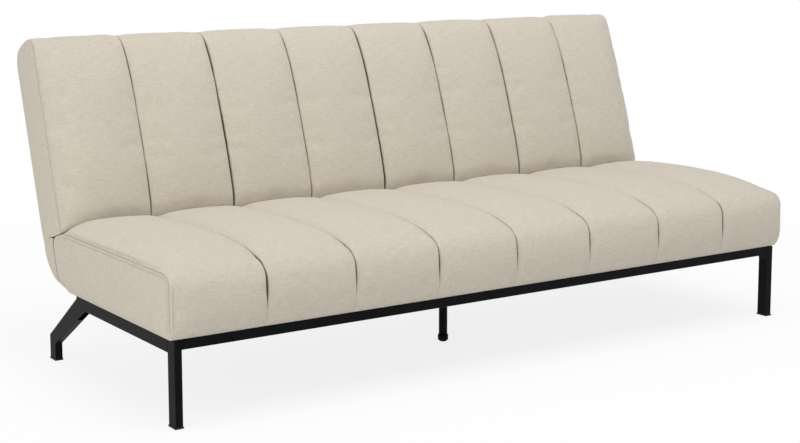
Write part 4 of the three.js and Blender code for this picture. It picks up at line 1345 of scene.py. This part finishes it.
def seat_topstitch():
    """Stitches beside the seat's side seams, from the foot of the front to the crease."""
    skin = BVHTree.FromObject(seat, bpy.context.evaluated_depsgraph_get())
    ring = seat_ring(-HALF_WIDTH, SEAT_COUNTS)
    line = towards_core(ring, seat_core, TOPSTITCH_INSET)[:SEAT_COUNTS[0] + SEAT_COUNTS[1], 1:]
    line = smooth_path(line, 4)
    length = np.linalg.norm(np.diff(line, axis=0), axis=1).sum()
    line = resampled(line, round(length / STITCH_PITCH))
    ways = np.gradient(line, axis=0)
    spots = []
    for side in (-1, 1):
        for (y, z), (run, rise) in zip(line, ways):
            found = skin.ray_cast(Vector((side * BEYOND_SIDE, y, z)), Vector((-side, 0, 0)))[0]
            if found and z > seat_floor + STITCH_START:
                spots.append((found, (0, run, rise)))
    sew("seat_topstitch", spots, "base")


def rear_cover_stitches():
    """Stitches round the hem of the cover on the back's rear."""
    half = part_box("back_rear_cover")[1].x - TOPSTITCH_INSET
    low, high = REAR_COVER_START + TOPSTITCH_INSET, REAR_COVER_END - TOPSTITCH_INSET
    turn = HEM_CORNER
    line = [
        *arc((half - turn, high - turn), turn, 0, 90), *arc((turn - half, high - turn), turn, 90, 180),
        *arc((turn - half, low + turn), turn, 180, 270), *arc((half - turn, low + turn), turn, 270, 360),
    ]
    line = np.array([*line, line[0]])
    length = np.linalg.norm(np.diff(line, axis=0), axis=1).sum()
    line = resampled(line, round(length / STITCH_PITCH))
    ways = np.roll(line, -1, 0) - line
    up = -BACK_DEPTH - SHEET_THICKNESS - float(hem_height(np.array([TOPSTITCH_INSET]))[0])
    spots = []
    for (x, y), (across, along) in zip(line, ways):
        at = tilted((y, up))
        way = tilted((y + along, up)) - at
        spots.append(((x, at[0] + front_y, at[1]), (across, way[0], way[1])))
    sew("rear_cover_stitches", spots, "back")


seat_topstitch()
rear_cover_stitches()


# Steel frame

def is_rounded(edge):
    """Whether an edge is outer and sharp, with no narrow face beside it."""
    if not edge.is_manifold or not edge.is_convex or edge.calc_face_angle() <= math.radians(SHARP_EDGE):
        return False
    widths = [face.calc_area() / max(e.calc_length() for e in face.edges) for face in edge.link_faces]
    return min(widths) > THINNEST_FACE


def rounded_copy(node_name):
    """A node's shape with its long outer edges rounded, and a value that marks the rounded edges."""
    bm = bmesh.new()
    bm.from_mesh(frame["nodes"][node_name].data)
    bmesh.ops.remove_doubles(bm, verts=bm.verts, dist=NODE_MERGE)
    bmesh.ops.dissolve_limit(bm, angle_limit=math.radians(NEARLY_FLAT), verts=bm.verts, edges=bm.edges)
    made = bmesh.ops.bevel(
        bm,
        geom=[edge for edge in bm.edges if is_rounded(edge)],
        offset=TUBE_CORNER,
        segments=3,
        profile=0.5,
        affect="EDGES",
        material=-1,
        clamp_overlap=True,
    )
    bm.faces.index_update()
    rounded = set(made["faces"])
    flat = [face.index for face in bm.faces if face not in rounded]
    bm.verts.index_update()
    marked = [v.index for v in bm.verts if v.link_faces and all(face in rounded for face in v.link_faces)]
    mesh = mesh_from(node_name + "_finish", bm)
    edge_values = np.zeros(len(mesh.vertices))
    edge_values[marked] = 1
    write_value(mesh, "edge", edge_values)
    mesh.set_sharp_from_angle(angle=math.radians(SHARP_SHADING))
    for number in flat:
        mesh.polygons[number].use_smooth = False
    return mesh


def dress_steel(node_name):
    """Gives a tube its rounded edges and its powder coat."""
    piece = new_piece(node_name + "_finish", rounded_copy(node_name), powder_coat)
    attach(piece, frame["nodes"][node_name]["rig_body"])
    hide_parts(node_name)


STEEL_TUBES = (
    "front_rail", "rear_rail", "centre_rail", "side_rail_left", "side_rail_right",
    "front_leg_left", "front_leg_right", "rear_leg_left", "rear_leg_right",
)
for tube in STEEL_TUBES:
    dress_steel(tube)


def make_fillet():
    """The hollow weld fillet between the front rail and the right front leg."""
    low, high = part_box("front_rail")
    centre = (high.x - FILLET_RADIUS, low.z - FILLET_RADIUS)
    bm = bmesh.new()
    hollow = arc(centre, FILLET_RADIUS, 90, 0, 6)
    face = bm.faces.new([bm.verts.new((x, low.y + FILLET_INSET, z)) for x, z in [(high.x, low.z), *hollow]])
    swept = bmesh.ops.extrude_face_region(bm, geom=[face])["geom"]
    moved = [item for item in swept if isinstance(item, bmesh.types.BMVert)]
    bmesh.ops.translate(bm, verts=moved, vec=(0, high.y - low.y - 2 * FILLET_INSET, 0))
    bmesh.ops.recalc_face_normals(bm, faces=bm.faces)
    mesh = mesh_from("leg_fillet", bm)
    mesh.set_sharp_from_angle(angle=math.radians(SHARP_SHADING))
    write_value(mesh, "edge", np.zeros(len(mesh.vertices)))
    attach(new_piece("leg_fillet", mesh, powder_coat), "base")


make_fillet()


# Nodes that stay as they are, with their finishes

def refinish(node_name, material):
    data = frame["nodes"][node_name].data
    data.materials.clear()
    data.materials.append(material)
    data.set_sharp_from_angle(angle=math.radians(NODE_SHADING))


for name in frame["nodes"]:
    if name.startswith("centre_leg"):
        refinish(name, powder_coat)
    elif "glide" in name:
        refinish(name, glide_plastic)
    elif "spring_left" in name or "spring_right" in name or name.startswith("seat_spring"):
        refinish(name, spring_steel)
    elif "hinge_screw" in name or name.startswith("hinge_") and name != "hinge_cover":
        refinish(name, zinc)
    elif "side_board" in name or "joist" in name or "cross_board" in name:
        refinish(name, timber_deep)
    elif "board" in name:
        refinish(name, timber_across)


# Floor, light and camera

def rays_of(tree, *kinds):
    """1 for rays of the kinds named, and 0 for all others."""
    light = node(tree, "ShaderNodeLightPath").outputs
    found = light[kinds[0]]
    for kind in kinds[1:]:
        found = maths(tree, "MAXIMUM", found, light[kind])
    return found


def make_floor():
    """A white floor that keeps the sofa's shadow and fades to plain white away from it."""
    bm = bmesh.new()
    bmesh.ops.create_grid(bm, x_segments=1, y_segments=1, size=FLOOR_HALF_SIZE)
    floor = bpy.data.objects.new("floor", mesh_from("floor", bm))
    bpy.context.scene.collection.objects.link(floor)
    material, tree, shader = new_material("white floor", Roughness=0.9, Specular_IOR_Level=0.0)
    shader.inputs["Base Color"].default_value = (0.93, 0.93, 0.93, 1)
    shader.inputs["Emission Color"].default_value = (1, 1, 1, 1)
    floor.data.materials.append(material)
    far = node(tree, "ShaderNodeVectorMath", {0: object_place(tree)}, operation="LENGTH").outputs["Value"]
    share = maths(tree, "MULTIPLY_ADD", ramp(tree, far, *FLOOR_FADE), 1 - FLOOR_WHITE, FLOOR_WHITE)
    seen = maths(tree, "MULTIPLY", share, rays_of(tree, "Is Camera Ray", "Is Glossy Ray"))
    white = node(tree, "ShaderNodeEmission", {"Color": (1, 1, 1, 1), "Strength": 1.0}).outputs[0]
    mixed = node(tree, "ShaderNodeMixShader", {0: seen, 1: shader.outputs[0], 2: white})
    tree.links.new(mixed.outputs[0], tree.nodes["Material Output"].inputs["Surface"])


def make_world():
    world = bpy.data.worlds.new("studio")
    bpy.context.scene.world = world
    world.use_nodes = True
    tree = world.node_tree
    background = tree.nodes["Background"]
    seen = rays_of(tree, "Is Camera Ray", "Is Glossy Ray", "Is Transmission Ray")
    strength = maths(tree, "MULTIPLY_ADD", seen, 1.0 - WORLD_LIGHT, WORLD_LIGHT)
    tree.links.new(strength, background.inputs["Strength"])
    background.inputs["Color"].default_value = (1, 1, 1, 1)


def add_lamp(name, place, aim, size, power, colour):
    lamp = bpy.data.lights.new(name, "AREA")
    lamp.color = colour
    lamp.shape = "RECTANGLE"
    lamp.size, lamp.size_y = size
    lamp.energy = power
    holder = bpy.data.objects.new(name, lamp)
    bpy.context.scene.collection.objects.link(holder)
    holder.location = place
    holder.rotation_euler = (Vector(aim) - Vector(place)).to_track_quat("-Z", "Y").to_euler()


def make_camera():
    lens = bpy.data.cameras.new("camera")
    lens.lens = CAMERA_LENS
    lens.shift_y = CAMERA_SHIFT
    camera = bpy.data.objects.new("camera", lens)
    bpy.context.scene.collection.objects.link(camera)
    camera.location = CAMERA_PLACE
    camera.rotation_euler = (math.radians(90 - CAMERA_PITCH), 0, -math.radians(CAMERA_TURN))
    bpy.context.scene.camera = camera


make_floor()
make_world()
add_lamp("top softbox", (0.1, -1.3, 4.2), (0, 0, 0.4), (3.4, 2.6), 92, (1.0, 0.98, 1.015))
add_lamp("left softbox", (-5.2, -1.4, 1.9), (-0.5, 0, 0.4), (3.0, 2.4), 64, (1.0, 0.98, 0.93))
make_camera()
bpy.context.scene.view_settings.view_transform = "Standard"
